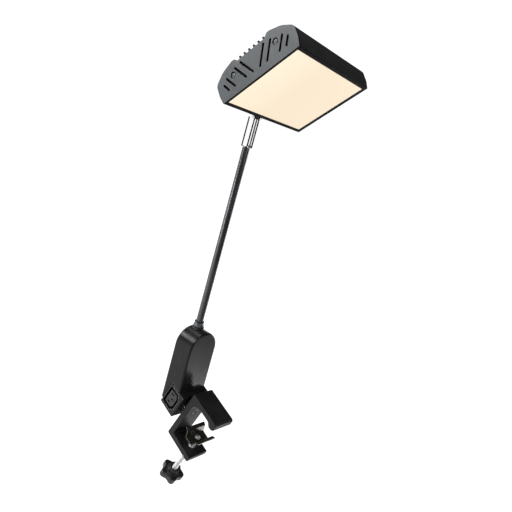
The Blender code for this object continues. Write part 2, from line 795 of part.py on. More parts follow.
def build_pivot():
    half = FORK_WIDTH / 2
    shank = 2.4 * MM
    washer = [
        (shank + GAP, 0.8 * MM),
        (4.6 * MM, 0.8 * MM),
        (4.6 * MM, 0),
        (shank + GAP, 0),
    ]
    for name, x in (("right", half + GAP), ("left", -half - GAP - 0.8 * MM)):
        fastener(f"pivot_washer_{name}", washer, pivot_frame, (x, 0, 0), (0, 90, 0), 24)
    seat = half + GAP + 0.8 * MM + GAP
    fastener(
        "pivot_bolt",
        [
            (0, 2.6 * MM),
            (3.4 * MM, 2.6 * MM),
            (4.2 * MM, 1.8 * MM),
            (4.2 * MM, 0),
            (shank, 0),
            (shank, -2 * seat - 4.6 * MM),
            (0, -2 * seat - 4.6 * MM),
        ],
        pivot_frame,
        (-seat, 0, 0),
        (0, -90, 0),
        24,
    )
    hexagon = circle((0, 0), 4.5 * MM, 6)
    thread = circle((0, 0), shank + GAP)
    nut = prism("pivot_nut", [hexagon, thread], seat, seat + 4 * MM, "X", pivot_frame, "zinc_steel")
    bevel(nut, 0.3 * MM, 1)


# ---- head ----


def head_point(height, depth):
    """Panel coordinates (from the middle of its face) to the head's frame, which starts at the hinge."""
    return (depth - PIVOT_DEPTH, height + PIVOT_TO_MIDDLE)


def placed(outline):
    return [head_point(height, depth) for height, depth in outline]


def head_half():
    """Back outline of the panel for one side, front corner to the recess floor."""
    return [
        (55.5 * MM, 0, 1 * MM),
        (57.5 * MM, 10 * MM, 4 * MM),
        (57.5 * MM, 25 * MM, 8 * MM),
        (44 * MM, 34.5 * MM, 25 * MM),
        (29 * MM, 39.2 * MM, 8 * MM),
        (24.3 * MM, 39.2 * MM, 1.2 * MM),
        (20.3 * MM, 35 * MM, 0.8 * MM),
    ]


def fin_corners():
    corners = []
    for i in reversed(range(FIN_COUNT // 2)):
        middle = FIN_PITCH * (i + 0.5)
        corners += [
            (middle + 1 * MM, 35 * MM),
            (middle + 0.8 * MM, 37.6 * MM, 0.5 * MM),
            (middle - 0.8 * MM, 37.6 * MM, 0.5 * MM),
            (middle - 1 * MM, 35 * MM),
        ]
    return corners


def build_head_housing():
    """One extrusion: walls, cooling fins, diffuser grooves and the end screws' ports."""
    port_h, port_d = SCREW_PORT
    port_radius = 3.4 * MM
    web = 1 * MM
    opening = math.degrees(math.asin(web / port_radius))
    port = arc(SCREW_PORT, port_radius, 90 + opening, 450 - opening, 14)
    inner = [
        (21.3 * MM, 33 * MM, 0.8 * MM),
        (25.1 * MM, 37.2 * MM, 1 * MM),
        (28.7 * MM, 37.2 * MM),
        (port_h - web, 36.4 * MM),
        *port,
        (port_h + web, 35.8 * MM),
        (43 * MM, 32.7 * MM, 20 * MM),
        (55.5 * MM, 23.9 * MM, 6 * MM),
        (55.5 * MM, 9.8 * MM, 3 * MM),
        (54.7 * MM, 5.4 * MM),
        (48.5 * MM, 4.6 * MM),
        (48.5 * MM, 2.8 * MM),
        (WINDOW_HALF, 2.8 * MM),
        (WINDOW_HALF, 0),
    ]
    outer = mirrored(head_half() + fin_corners())
    other_side = [(-corner[0], *corner[1:]) for corner in reversed(inner)]
    outline = rounded([*outer, *other_side, *inner], 3)
    holes = [circle((side * port_h, port_d), 1.3 * MM, 12) for side in (-1, 1)]
    half = PANEL_LENGTH / 2 - GAP
    loops = [placed(outline), *[placed(hole) for hole in holes]]
    housing = prism("head_housing", loops, -half, half, "X", pivot_frame, "black_aluminium", True)
    for side in (-1, 1):
        loop = circle((side * 9.5 * MM, 1.5 * MM), 1.6 * MM, 12)
        name = "left" if side < 0 else "right"
        join(housing, prism(f"cut_lug_{name}", [loop], 5 * MM, 14 * MM, "Z", pivot_frame))


def cap_loops():
    outline = placed(rounded(mirrored(head_half()), 3))
    runs = [
        ((5.2 * MM, 10.3 * MM), (17 * MM, 30.2 * MM)),
        ((15.5 * MM, 10.3 * MM), (26.6 * MM, 29.1 * MM)),
        ((33 * MM, 10.3 * MM), (41.2 * MM, 24.1 * MM)),
        ((42.3 * MM, 10.3 * MM), (47 * MM, 18.7 * MM)),
    ]
    loops = [outline]
    for side in (-1, 1):
        for start, end in runs:
            vent = slot((side * start[0], start[1]), (side * end[0], end[1]), VENT_WIDTH, 3)
            loops.append(placed(vent))
        loops.append(placed(circle((side * SCREW_PORT[0], SCREW_PORT[1]), 1.6 * MM, 12)))
    return loops


def build_end_caps():
    inner = PANEL_LENGTH / 2
    outer = inner + CAP_THICKNESS
    for name, side in (("left", -1), ("right", 1)):
        low, high = sorted((side * inner, side * outer))
        prism(f"{name}_end_cap", cap_loops(), low, high, "X", pivot_frame, "cap_grey")
        profile = screw_profile(3 * MM, 1.6 * MM, 1 * MM, 9 * MM)
        for place, sign in (("near", -1), ("far", 1)):
            y, z = head_point(sign * SCREW_PORT[0], SCREW_PORT[1])
            spot = (side * (outer + GAP), y, z)
            fastener(f"{name}_cap_screw_{place}", profile, pivot_frame, spot, (0, side * 90, 0))


def head_box(name, size_x, size_h, depth_low, depth_high, finish=None):
    low_y, low_z = head_point(-size_h / 2, depth_low)
    high_y, high_z = head_point(size_h / 2, depth_high)
    return box(name, (-size_x / 2, low_y, low_z), (size_x / 2, high_y, high_z), pivot_frame, finish)


def build_light():
    """Diffuser plate, white reflector frame behind it and the board with its rows of LEDs."""
    size = (PANEL_LENGTH - 0.8 * MM, 2 * WINDOW_HALF - 0.8 * MM)
    diffuser = head_box("diffuser", *size, 0.3 * MM, 2.5 * MM, "diffuser")
    bevel(diffuser, 0.3 * MM, 1)
    mesh = bpy.data.meshes.new("reflector_frame")
    tray = bmesh.new()
    bmesh.ops.create_cube(tray, size=1)
    ends = [face for face in tray.faces if abs(face.normal.y) > 0.5]
    bmesh.ops.delete(tray, geom=ends, context="FACES_ONLY")
    for vert in tray.verts:
        front = vert.co.y < 0
        half_x = (72.5 if front else 70) * MM
        half_h = (47.5 if front else 41) * MM
        y, z = head_point(math.copysign(half_h, vert.co.z), (5.2 if front else 16.8) * MM)
        vert.co = (math.copysign(half_x, vert.co.x), y, z)
    tray.to_mesh(mesh)
    tray.free()
    frame = link("reflector_frame", mesh, pivot_frame, "white_plastic")
    wall = frame.modifiers.new("wall", "SOLIDIFY")
    wall.thickness = 0.8 * MM
    wall.offset = -1
    board = head_box("led_board", 140 * MM, 84 * MM, 17.9 * MM, 19.5 * MM, "white_plastic")
    for row in range(4):
        for column in range(6):
            y, z = head_point((row - 1.5) * 20 * MM, 17.1 * MM)
            x = (column - 2.5) * 23 * MM
            low = (x - 1.5 * MM, y, z - 1.5 * MM)
            high = (x + 1.5 * MM, y + 1 * MM, z + 1.5 * MM)
            join(board, box(f"join_led_{row}_{column}", low, high, pivot_frame), operation="UNION")


def build_lug():
    """The tongue between the fork's prongs, on a foot screwed to the panel's near side wall."""
    wall_z = PIVOT_TO_MIDDLE - 57.5 * MM
    foot_low = wall_z - 2.5 * MM
    radius = 4.4 * MM
    arch = arc((0, 0), radius, 180, 360, 12)
    outline = [*arch, (radius, foot_low + 1 * MM), (-radius, foot_low + 1 * MM)]
    half = FORK_SLOT / 2 - GAP
    loops = [outline, circle((0, 0), 2.7 * MM)]
    lug = prism("head_lug", loops, -half, half, "X", pivot_frame, "black_aluminium", True)
    foot_high = (13 * MM, 6.2 * MM, wall_z - GAP)
    foot = box("join_lug_foot", (-13 * MM, -3.4 * MM, foot_low), foot_high, pivot_frame)
    bevel(foot, 0.5 * MM, 1)
    join(lug, foot, operation="UNION")
    profile = screw_profile(2.4 * MM, 1.5 * MM, 1.2 * MM, 7 * MM)
    for name, side in (("left", -1), ("right", 1)):
        place = (side * 9.5 * MM, 1.5 * MM)
        hole = prism(f"cut_foot_{name}", [circle(place, 1.6 * MM, 12)], 4 * MM, 14 * MM, "Z", pivot_frame)
        join(lug, hole)
        fastener(f"lug_screw_{name}", profile, pivot_frame, (*place, foot_low - GAP), (180, 0, 0))


clear_scene()
parts = make_collection("clamp_lamp")
cutters = make_collection("cutters")
materials = {name: make_material(name, *values) for name, values in MATERIALS.items()}

clamp_frame = make_frame("clamp_frame", (0, 0, 0), 0)
lift_frame = make_frame("lift_frame", (0, SCREW_Y, SADDLE_BASE_Z), 0, clamp_frame)
turn_frame = make_frame("turn_frame", (0, 0, 0), 0, lift_frame)
swivel_axis = Vector((0, SOCKET_FRONT_Y, SWIVEL_Z))
swivel_frame = make_frame("swivel_frame", swivel_axis, 0, clamp_frame)
swivel_world = make_frame("swivel_world", -swivel_axis, 0, swivel_frame)
box_frame = make_frame("box_frame", ARM_BASE, -ARM_TILT, swivel_world)
arm_frame = make_frame("arm_frame", (0, 0, 0), 0, box_frame)
pivot_frame = make_frame("pivot_frame", (0, 0, PIVOT_HEIGHT), HEAD_TILT, arm_frame)
bpy.context.view_layer.update()

build_clamp()
build_swivel()
build_screw_and_saddle()
build_knob()
build_socket_housing()
build_outlet()
build_inlet()
build_driver_box()
build_driver()
build_arm()
build_fork()
build_pivot()
build_head_housing()
build_end_caps()
build_light()
build_lug()
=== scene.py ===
import json
import math

import bmesh
import bpy
from mathutils import Matrix, Vector


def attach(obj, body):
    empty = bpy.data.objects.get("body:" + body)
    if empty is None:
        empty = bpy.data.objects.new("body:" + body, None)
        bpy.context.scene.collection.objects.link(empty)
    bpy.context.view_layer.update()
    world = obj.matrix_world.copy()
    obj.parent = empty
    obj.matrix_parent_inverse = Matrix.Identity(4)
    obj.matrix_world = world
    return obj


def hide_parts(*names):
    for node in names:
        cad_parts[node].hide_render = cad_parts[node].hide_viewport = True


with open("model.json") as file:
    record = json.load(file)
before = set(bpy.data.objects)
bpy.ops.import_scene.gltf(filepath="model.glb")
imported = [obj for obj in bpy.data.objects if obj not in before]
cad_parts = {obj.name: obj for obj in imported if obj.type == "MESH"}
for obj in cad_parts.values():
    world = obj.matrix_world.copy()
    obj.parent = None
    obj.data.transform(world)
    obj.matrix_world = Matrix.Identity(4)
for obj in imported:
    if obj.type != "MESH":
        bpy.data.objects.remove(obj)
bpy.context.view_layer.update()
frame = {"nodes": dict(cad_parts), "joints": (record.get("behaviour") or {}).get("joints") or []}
mm = 0.001
print("frame loaded")

# ---- where the bodies are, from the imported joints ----

joints = {joint["name"]: joint for joint in frame["joints"]}
armBase = Vector(joints["arm_swivel"]["pos_m"])  # crown of the driver box
armAxis = Vector(joints["arm_swivel"]["axis"])
hinge = Vector(joints["head_tilt"]["pos_m"])  # where the light panel tilts
restPose = {"panelTilt": 28.9}  # degrees that the panel leans forward from upright at rest
armLean = math.atan2(armAxis.y, armAxis.z)

worldPlace = Matrix.Identity(4)
boxPlace = Matrix.Translation(armBase) @ Matrix.Rotation(-armLean, 4, "X")
headPlace = Matrix.Translation(hinge) @ Matrix.Rotation(math.radians(restPose["panelTilt"]), 4, "X")

# ---- camera ----

cameraView = {
    "location": (-0.4904, -0.2009, 0.4650),
    "right": (0.6237, -0.5892, 0.5135),
    "up": (-0.0132, 0.6491, 0.7605),
    "lens": 34.45,  # mm on a 36 mm sensor
}


def makeCamera():
    data = bpy.data.cameras.new("camera")
    data.lens = cameraView["lens"]
    data.sensor_width = 36
    camera = bpy.data.objects.new("camera", data)
    bpy.context.scene.collection.objects.link(camera)
    right = Vector(cameraView["right"]).normalized()
    back = right.cross(Vector(cameraView["up"])).normalized()
    up = back.cross(right)
    turn = Matrix((right, up, back)).transposed().to_4x4()
    camera.matrix_world = Matrix.Translation(cameraView["location"]) @ turn
    bpy.context.scene.camera = camera


makeCamera()
print("camera set")

# ---- nodes ----


def hexToLinear(code):
    parts = [int(code[i : i + 2], 16) / 255 for i in (1, 3, 5)]
    linear = [((c + 0.055) / 1.055) ** 2.4 if c > 0.04045 else c / 12.92 for c in parts]
    return (*linear, 1)


def addNode(tree, kind, inputs=None, **settings):
    node = tree.nodes.new(kind)
    for name, value in settings.items():
        setattr(node, name, value)
    for name, value in (inputs or {}).items():
        if isinstance(value, bpy.types.NodeSocket):
            tree.links.new(value, node.inputs[name])
        else:
            node.inputs[name].default_value = value
    return node


def newMaterial(name, inputs):
    material = bpy.data.materials.new(name)
    material.use_nodes = True
    shader = material.node_tree.nodes["Principled BSDF"]
    for label, value in inputs.items():
        shader.inputs[label].default_value = value
    return material, material.node_tree, shader


def calculated(tree, operation, first, second=0.0, **settings):
    inputs = {0: first, 1: second}
    return addNode(tree, "ShaderNodeMath", inputs, operation=operation, **settings).outputs[0]


def ranged(tree, value, source, target=(0.0, 1.0), **settings):
    labels = ("Value", "From Min", "From Max", "To Min", "To Max")
    inputs = dict(zip(labels, (value, *source, *target)))
    return addNode(tree, "ShaderNodeMapRange", inputs, **settings).outputs[0]


def mixed(tree, share, first, second):
    inputs = {0: share, 6: first, 7: second}
    return addNode(tree, "ShaderNodeMix", inputs, data_type="RGBA").outputs[2]


def noise(tree, place, sizes, detail, tilt=0.0):
    inputs = {"Vector": place, "Rotation": (tilt, 0, 0), "Scale": sizes}
    mapped = addNode(tree, "ShaderNodeMapping", inputs, vector_type="TEXTURE").outputs[0]
    inputs = {"Vector": mapped, "Scale": 1.0, "Detail": detail}
    return addNode(tree, "ShaderNodeTexNoise", inputs).outputs[0]


# ---- finishes ----
# colours are sRGB, grain and relief in millimetres; stretch draws the grain out along the piece's own x, y, z

# what holds unless a finish says otherwise
plainLook = {"metallic": 0.0, "specular": 0.5, "stretch": (1, 1, 1), "tilt": 0.0}
finishes = {
    # 6063 aluminium, extruded and black anodised: satin, with fine die lines along its length
    "anodisedAluminium": {
        "tones": ("#1d1d1e", "#262627"), "rough": (0.36, 0.48), "specular": 0.22,
        "grain": 0.9, "stretch": (60, 1, 1), "relief": 0.010, "patch": 22,
    },
    # the same alloy drawn as tube: the lines run up the arm
    "anodisedTube": {
        "tones": ("#4a4b4d", "#58595b"), "rough": (0.20, 0.28), "metallic": 0.85,
        "grain": 0.8, "stretch": (1, 1, 70), "relief": 0.006, "patch": 30, "tilt": -armLean,
    },
    # die cast aluminium, powder coated black: an orange peel skin, paler where edges rub
    "powderCoatedCasting": {
        "tones": ("#0f0f10", "#151516"), "rough": (0.40, 0.52), "specular": 0.2,
        "grain": 1.1, "relief": 0.020, "patch": 14, "edge": "#3a3b3e", "edgeWidth": 0.5,
    },
    # pressed steel sheet, black zinc: darker and a little glossier than the casting
    "blackZincSheet": {
        "tones": ("#2e2d29", "#3b3934"), "rough": (0.24, 0.36), "metallic": 0.7,
        "grain": 2.2, "stretch": (8, 1, 1), "relief": 0.008, "patch": 9, "edge": "#b0aea8", "edgeWidth": 0.5,
    },
    # ABS, injection moulded in a fine spark textured tool: an even satin black; its lighter edge tone is a
    # painted highlight along the rounded rims
    "texturedAbs": {
        "tones": ("#111112", "#171718"), "rough": (0.26, 0.34), "specular": 0.19,
        "grain": 0.55, "relief": 0.006, "patch": 25, "edge": "#55565a", "edgeWidth": 0.7,
    },
    # glass filled nylon, moulded: slightly mottled, with fibres near the skin; its lighter edge tone is a
    # painted highlight along the edges
    "glassFilledNylon": {
        "tones": ("#101011", "#19191a"), "rough": (0.26, 0.36), "specular": 0.45,
        "grain": 1.4, "stretch": (1, 1, 3), "relief": 0.014, "patch": 8, "edge": "#77787b", "edgeWidth": 0.5,
    },
    # ABS end plates, moulded and painted satin grey
    "paintedEndPlate": {
        "tones": ("#424547", "#4a4d4f"), "rough": (0.36, 0.44), "specular": 0.35,
        "grain": 0.7, "relief": 0.008, "patch": 35, "edge": "#6d7173", "edgeWidth": 0.3,
    },
    # brass, machined, polished and chrome plated
    "chromePlatedBrass": {
        "tones": ("#f6f7f8", "#ffffff"), "rough": (0.05, 0.10), "metallic": 1.0,
        "grain": 1.0, "stretch": (1, 1, 20), "relief": 0.001, "patch": 12, "tilt": -armLean,
    },
    # steel, rolled or turned, bright zinc plated
    "zincPlatedSteel": {
        "tones": ("#d9dcde", "#eef0f1"), "rough": (0.30, 0.42), "metallic": 1.0,
        "grain": 0.6, "relief": 0.003, "patch": 6,
    },
    # plated brass whose prongs' rims are painted black: a painted reflection of the dark surroundings that
    # the chrome edges mirror
    "blackChromedBrass": {
        "tones": ("#121213", "#1b1b1c"), "rough": (0.22, 0.32), "specular": 0.12,
        "grain": 1.0, "stretch": (1, 1, 20), "relief": 0.002, "patch": 12, "tilt": -armLean,
    },
    # steel, turned and nickel plated satin
    "satinNickelledSteel": {
        "tones": ("#636568", "#74777a"), "rough": (0.34, 0.46), "metallic": 1.0,
        "grain": 0.5, "relief": 0.004, "patch": 5,
    },
    # a matt black sheet behind the vents: painted shade, standing for the dark inside that the vents show
    "blackFilm": {
        "tones": ("#050505", "#090909"), "rough": (0.7, 0.8), "specular": 0.1,
        "grain": 1.0, "relief": 0.002, "patch": 10,
    },
    # rims, slots and the lip round the lit face: matt black, so that they throw no glare; on the lip, the
    # faces turned the same way as the lit face, front and down towards the floor, this black is painted shade
    "bareBlackRim": {
        "tones": ("#0c0c0d", "#131315"), "rough": (0.55, 0.7), "specular": 0.03,
        "grain": 0.6, "relief": 0.006, "patch": 10,
    },
    # steel screws, black oxide: dark with a thin oil sheen
    "blackOxideSteel": {
        "tones": ("#1b1c1e", "#27282a"), "rough": (0.30, 0.42), "metallic": 0.5, "specular": 0.3,
        "grain": 0.5, "relief": 0.004, "patch": 4,
    },
    # brass contacts, stamped and nickel plated
    "nickelPlatedBrass": {
        "tones": ("#cfccc2", "#dedbd2"), "rough": (0.18, 0.30), "metallic": 1.0,
        "grain": 0.7, "stretch": (12, 1, 1), "relief": 0.002, "patch": 5,
    },
    # polycarbonate, moulded white and matt
    "whitePolycarbonate": {
        "tones": ("#e4e4e0", "#efefec"), "rough": (0.45, 0.6),
        "grain": 1.2, "relief": 0.006, "patch": 20,
    },
    # glass epoxy laminate under green solder mask, woven cloth just showing
    "solderMaskLaminate": {
        "tones": ("#123d26", "#1f5a36"), "rough": (0.25, 0.4),
        "grain": 0.5, "stretch": (1, 6, 1), "relief": 0.008, "patch": 6,
    },
    # polyester winding tape, wrapped in overlapping turns
    "windingTape": {
        "tones": ("#b58f2c", "#cfa93e"), "rough": (0.35, 0.5),
        "grain": 1.0, "stretch": (20, 1, 1), "relief": 0.02, "patch": 5,
    },
    # PVC sleeve, heat shrunk on aluminium cans
    "shrinkSleeve": {
        "tones": ("#1c263c", "#27344f"), "rough": (0.3, 0.4),
        "grain": 1.5, "relief": 0.005, "patch": 6,
    },
    # PVC cable jacket, extruded
    "extrudedPvc": {
        "tones": ("#131314", "#1b1b1c"), "rough": (0.5, 0.62),
        "grain": 0.8, "stretch": (1, 1, 20), "relief": 0.006, "patch": 10, "tilt": -armLean,
    },
}
# the same ABS on the socket housing, with a bright painted highlight along its sharp edges
finishes["rubbedAbs"] = {**finishes["texturedAbs"], "edge": "#b4b6b9", "edgeWidth": 0.6}
madeMaterials = {}


def surface(name):
    if name in madeMaterials:
        return madeMaterials[name]
    look = {**plainLook, **finishes[name]}
    inputs = {"Metallic": look["metallic"], "Specular IOR Level": look["specular"]}
    material, tree, shader = newMaterial(name, inputs)
    place = addNode(tree, "ShaderNodeTexCoord").outputs["Object"]
    sizes = [stretch * look["grain"] * mm for stretch in look["stretch"]]
    grain = noise(tree, place, sizes, 3.0, look["tilt"])
    patch = noise(tree, place, [look["patch"] * mm] * 3, 4.0)
    spread = ranged(tree, calculated(tree, "ADD", grain, patch), (0.7, 1.3))
    colour = mixed(tree, spread, *map(hexToLinear, look["tones"]))
    if "edge" in look:  # lighter edges, where the rounded normal leaves the flat one: wear on the casting, a painted highlight on the textured ABS and the nylon
        soft = addNode(tree, "ShaderNodeBevel", {"Radius": look["edgeWidth"] * mm}, samples=4)
        flat = addNode(tree, "ShaderNodeNewGeometry").outputs["Normal"]
        normals = {0: soft.outputs[0], 1: flat}
        match = addNode(tree, "ShaderNodeVectorMath", normals, operation="DOT_PRODUCT").outputs["Value"]
        bent = ranged(tree, match, (0.99, 0.80), (0.0, 0.9))
        edgeWearAndHighlight = calculated(tree, "MULTIPLY", bent, spread)
        colour = mixed(tree, edgeWearAndHighlight, colour, hexToLinear(look["edge"]))
    tree.links.new(colour, shader.inputs["Base Color"])
    tree.links.new(ranged(tree, patch, (0.3, 0.7), look["rough"]), shader.inputs["Roughness"])
    relief = {"Strength": 1.0, "Distance": look["relief"] * mm, "Height": grain}
    tree.links.new(addNode(tree, "ShaderNodeBump", relief).outputs[0], shader.inputs["Normal"])
    madeMaterials[name] = material
    return material


# cast acrylic, opal: a warm even glow
diffuserLook = {
    # near is the base colour at the end with painted light, far at the other end
    "glow": "#ffeed4", "strength": 0.665, "near": "#958c7a", "far": "#7a6c55", "reach": 75, "cloud": 20,
}


def opalAcrylic():
    look = diffuserLook
    glow = {"Emission Color": hexToLinear(look["glow"]), "Emission Strength": look["strength"], "IOR": 1.49}
    material, tree, shader = newMaterial("opalAcrylic", glow)
    place = addNode(tree, "ShaderNodeTexCoord").outputs["Object"]
    cloud = noise(tree, place, [look["cloud"] * mm] * 3, 1.0)
    # painted light: the base colour is paler towards one end, standing in for the studio light falling from
    # that side, with a soft cloudiness
    along = addNode(tree, "ShaderNodeSeparateXYZ", {0: place}).outputs["X"]
    litEndRamp = ranged(tree, along, (-look["reach"] * mm, 0.0))
    share = calculated(tree, "ADD", litEndRamp, calculated(tree, "MULTIPLY", cloud, 0.3), use_clamp=True)
    body = mixed(tree, share, hexToLinear(look["near"]), hexToLinear(look["far"]))
    tree.links.new(body, shader.inputs["Base Color"])
    tree.links.new(ranged(tree, cloud, (0.0, 1.0), (0.42, 0.5)), shader.inputs["Roughness"])
    return material


# ---- outlines ----


def arcPoints(centre, radius, start, end, steps):
    angles = [math.radians(start + (end - start) * i / steps) for i in range(steps + 1)]
    return [(centre[0] + radius * math.cos(a), centre[1] + radius * math.sin(a)) for a in angles]


def ringPoints(centre, radius, steps=64):
    return arcPoints(centre, radius, 0, 360, steps)[:-1]


def softened(corners, steps=8):
    # a closed outline from (a, b, radius) corners
    outline = []
    for i, corner in enumerate(corners):
        here = Vector(corner[:2])
        radius = corner[2] if len(corner) > 2 else 0
        if radius == 0:
            outline.append(tuple(here))
            continue
        back = (Vector(corners[i - 1][:2]) - here).normalized()
        ahead = (Vector(corners[(i + 1) % len(corners)][:2]) - here).normalized()
        half = back.angle(ahead) / 2
        middle = here + (back + ahead).normalized() * radius / math.sin(half)
        first = here + back * radius / math.tan(half) - middle
        turn = 1 if back.x * ahead.y - back.y * ahead.x < 0 else -1
        for k in range(steps + 1):
            point = first.copy()
            point.rotate(Matrix.Rotation(turn * (math.pi - 2 * half) * k / steps, 2))
            outline.append(tuple(middle + point))
    return outline


def bothSides(half):
    return half + [(-corner[0], *corner[1:]) for corner in reversed(half)]


def slotPoints(start, end, width, steps=8):
    run = Vector(end) - Vector(start)
    heading = math.degrees(math.atan2(run.y, run.x))
    far = arcPoints(end, width / 2, heading - 90, heading + 90, steps)
    return far + arcPoints(start, width / 2, heading + 90, heading + 270, steps)


# ---- solids: outlines are in millimetres, in the piece's own place ----

alongAxis = {
    "X": Matrix(((0, 0, 1), (1, 0, 0), (0, 1, 0))).to_4x4(),
    "Y": Matrix(((1, 0, 0), (0, 0, -1), (0, 1, 0))).to_4x4(),
    "Z": Matrix.Identity(4),
}


def newPiece(name, mesh):
    piece = bpy.data.objects.new(name, mesh)
    bpy.context.scene.collection.objects.link(piece)
    return piece


def cleaned(mesh):
    work = bmesh.new()
    work.from_mesh(mesh)
    bmesh.ops.remove_doubles(work, verts=work.verts, dist=0.002 * mm)
    bmesh.ops.dissolve_degenerate(work, edges=work.edges, dist=0.001 * mm)
    bmesh.ops.recalc_face_normals(work, faces=work.faces)
    work.to_mesh(mesh)
    work.free()
    return mesh


def baked(piece):
    # turns what the modifiers make into the piece's own plain mesh
    graph = bpy.context.evaluated_depsgraph_get()
    mesh = bpy.data.meshes.new_from_object(piece.evaluated_get(graph))
    piece.modifiers.clear()
    piece.data = mesh
    return piece


def plate(name, outlines, low, high, axis, place=worldPlace, edge=0.0, steps=3):
    # the first outline is the rim and the rest are holes; edge rounds both faces' rims
    curve = bpy.data.curves.new(name, "CURVE")
    curve.dimensions = "2D"
    curve.fill_mode = "BOTH"
    curve.extrude = ((high - low) / 2 - edge) * mm
    curve.bevel_depth = edge * mm
    curve.bevel_resolution = steps
    curve.offset = -edge * mm
    for outline in outlines:
        spline = curve.splines.new("POLY")
        spline.points.add(len(outline) - 1)
        for point, (a, b) in zip(spline.points, outline):
            point.co = (a * mm, b * mm, 0, 1)
        spline.use_cyclic_u = True
    holder = newPiece(name, curve)
    graph = bpy.context.evaluated_depsgraph_get()
    mesh = bpy.data.meshes.new_from_object(holder.evaluated_get(graph))
    bpy.data.objects.remove(holder)
    middle = (low + high) / 2 * mm
    lift = Matrix.Translation((0, 0, -middle if axis == "Y" else middle))
    mesh.transform(place @ alongAxis[axis] @ lift)
    return newPiece(name, cleaned(mesh))


def block(name, low, high, place=worldPlace, edge=0.0, segments=4):
    mesh = bpy.data.meshes.new(name)
    work = bmesh.new()
    bmesh.ops.create_cube(work, size=1)
    low, high = Vector(low) * mm, Vector(high) * mm
    bmesh.ops.scale(work, vec=high - low, verts=work.verts)
    bmesh.ops.translate(work, vec=(low + high) / 2, verts=work.verts)
    if edge:
        bmesh.ops.bevel(
            work, geom=work.edges, offset=edge * mm, segments=segments, profile=0.5, affect="EDGES"
        )
    work.to_mesh(mesh)
    work.free()
    mesh.transform(place)
    return newPiece(name, mesh)


def turned(name, profile, place=worldPlace, axis="Z", centre=(0, 0, 0), steps=96):
    # a solid of revolution from (radius, height) points; a ring where it doesn't start on the axis
    rows = []
    work = bmesh.new()
    for radius, height in profile:
        if radius <= 0:
            rows.append([work.verts.new((0, 0, height * mm))])
        else:
            circle = ringPoints((0, 0), radius, steps)
            rows.append([work.verts.new((a * mm, b * mm, height * mm)) for a, b in circle])
    pairs = list(zip(rows, rows[1:]))
    if profile[0][0] > 0:
        pairs.append((rows[-1], rows[0]))
    for first, second in pairs:
        for i in range(steps):
            j = (i + 1) % steps
            corners = [row[k % len(row)] for row, k in ((first, i), (first, j), (second, j), (second, i))]
            unique = list(dict.fromkeys(corners))
            if len(unique) > 2:
                work.faces.new(unique)
    mesh = bpy.data.meshes.new(name)
    work.to_mesh(mesh)
    work.free()
    aim = {"X": Matrix.Rotation(math.radians(90), 4, "Y"), "Y": Matrix.Rotation(math.radians(-90), 4, "X")}
    shift = Matrix.Translation(Vector(centre) * mm)
    mesh.transform(place @ shift @ aim.get(axis, Matrix.Identity(4)))
    return newPiece(name, cleaned(mesh))


def ring(inner, outer, low, high, edge=0.3):
    # profile of a ring with softened outer edges
    corners = [(inner, high), (outer, high, edge), (outer, low, edge), (inner, low)]
    return softened(corners, 4)


def combine(target, *others, operation="DIFFERENCE"):
    for other in others:
        change = target.modifiers.new("change", "BOOLEAN")
        change.operation = operation
        change.solver = "EXACT"
        change.object = other
        baked(target)
        bpy.data.objects.remove(other)
    cleaned(target.data)
    return target


def gathered(target, *others):
    # several closed bodies in one mesh
    work = bmesh.new()
    for piece in (target, *others):
        work.from_mesh(piece.data)
    work.to_mesh(target.data)
    work.free()
    for other in others:
        bpy.data.objects.remove(other)
    return target


def finished(piece, body, finish, replaces=(), smooth=32):
    # shading, material, and what the piece moves with and stands for
    piece.data.shade_smooth()
    piece.data.set_sharp_from_angle(angle=math.radians(smooth))
    weigh = piece.modifiers.new("weigh", "WEIGHTED_NORMAL")
    weigh.keep_sharp = True
    baked(piece)
    piece.data.materials.clear()
    piece.data.materials.append(finish if isinstance(finish, bpy.types.Material) else surface(finish))
    piece.data.name = piece.name
    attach(piece, body)
    if replaces:
        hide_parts(*replaces)
    return piece


def paintFaces(piece, finish, chosen):
    # a second finish on the faces that chosen(middle, normal) picks, at rest
    piece.data.materials.append(surface(finish))
    for face in piece.data.polygons:
        if chosen(face.center, face.normal):
            face.material_index = 1


# ---- Geometry Nodes trees for what repeats ----


def makeTree(name, **sockets):
    # sockets: for each kind, the names of its inputs; every tree has a material as well
    tree = bpy.data.node_groups.new(name, "GeometryNodeTree")
    tree.interface.new_socket("Geometry", in_out="OUTPUT", socket_type="NodeSocketGeometry")
    for kind, labels in {**sockets, "Material": "Material"}.items():
        for label in labels.split(", "):
            tree.interface.new_socket(label, in_out="INPUT", socket_type="NodeSocket" + kind)
    return tree, addNode(tree, "NodeGroupInput").outputs


def closeTree(tree, geometry, material):
    real = addNode(tree, "GeometryNodeRealizeInstances", {"Geometry": geometry})
    paint = addNode(tree, "GeometryNodeSetMaterial", {"Geometry": real.outputs[0], "Material": material})
    addNode(tree, "NodeGroupOutput", {"Geometry": paint.outputs[0]})


def grown(name, tree, values, place=worldPlace, source=None):
    # runs a tree with its named inputs and keeps the plain mesh it makes
    piece = newPiece(name, source or bpy.data.meshes.new(name))
    modifier = piece.modifiers.new(name, "NODES")
    modifier.node_group = tree
    for item in tree.interface.items_tree:
        if item.in_out == "INPUT" and item.name in values:
            modifier[item.identifier] = values[item.name]
    baked(piece)
    piece.data.transform(place)
    cleaned(piece.data)
    return piece


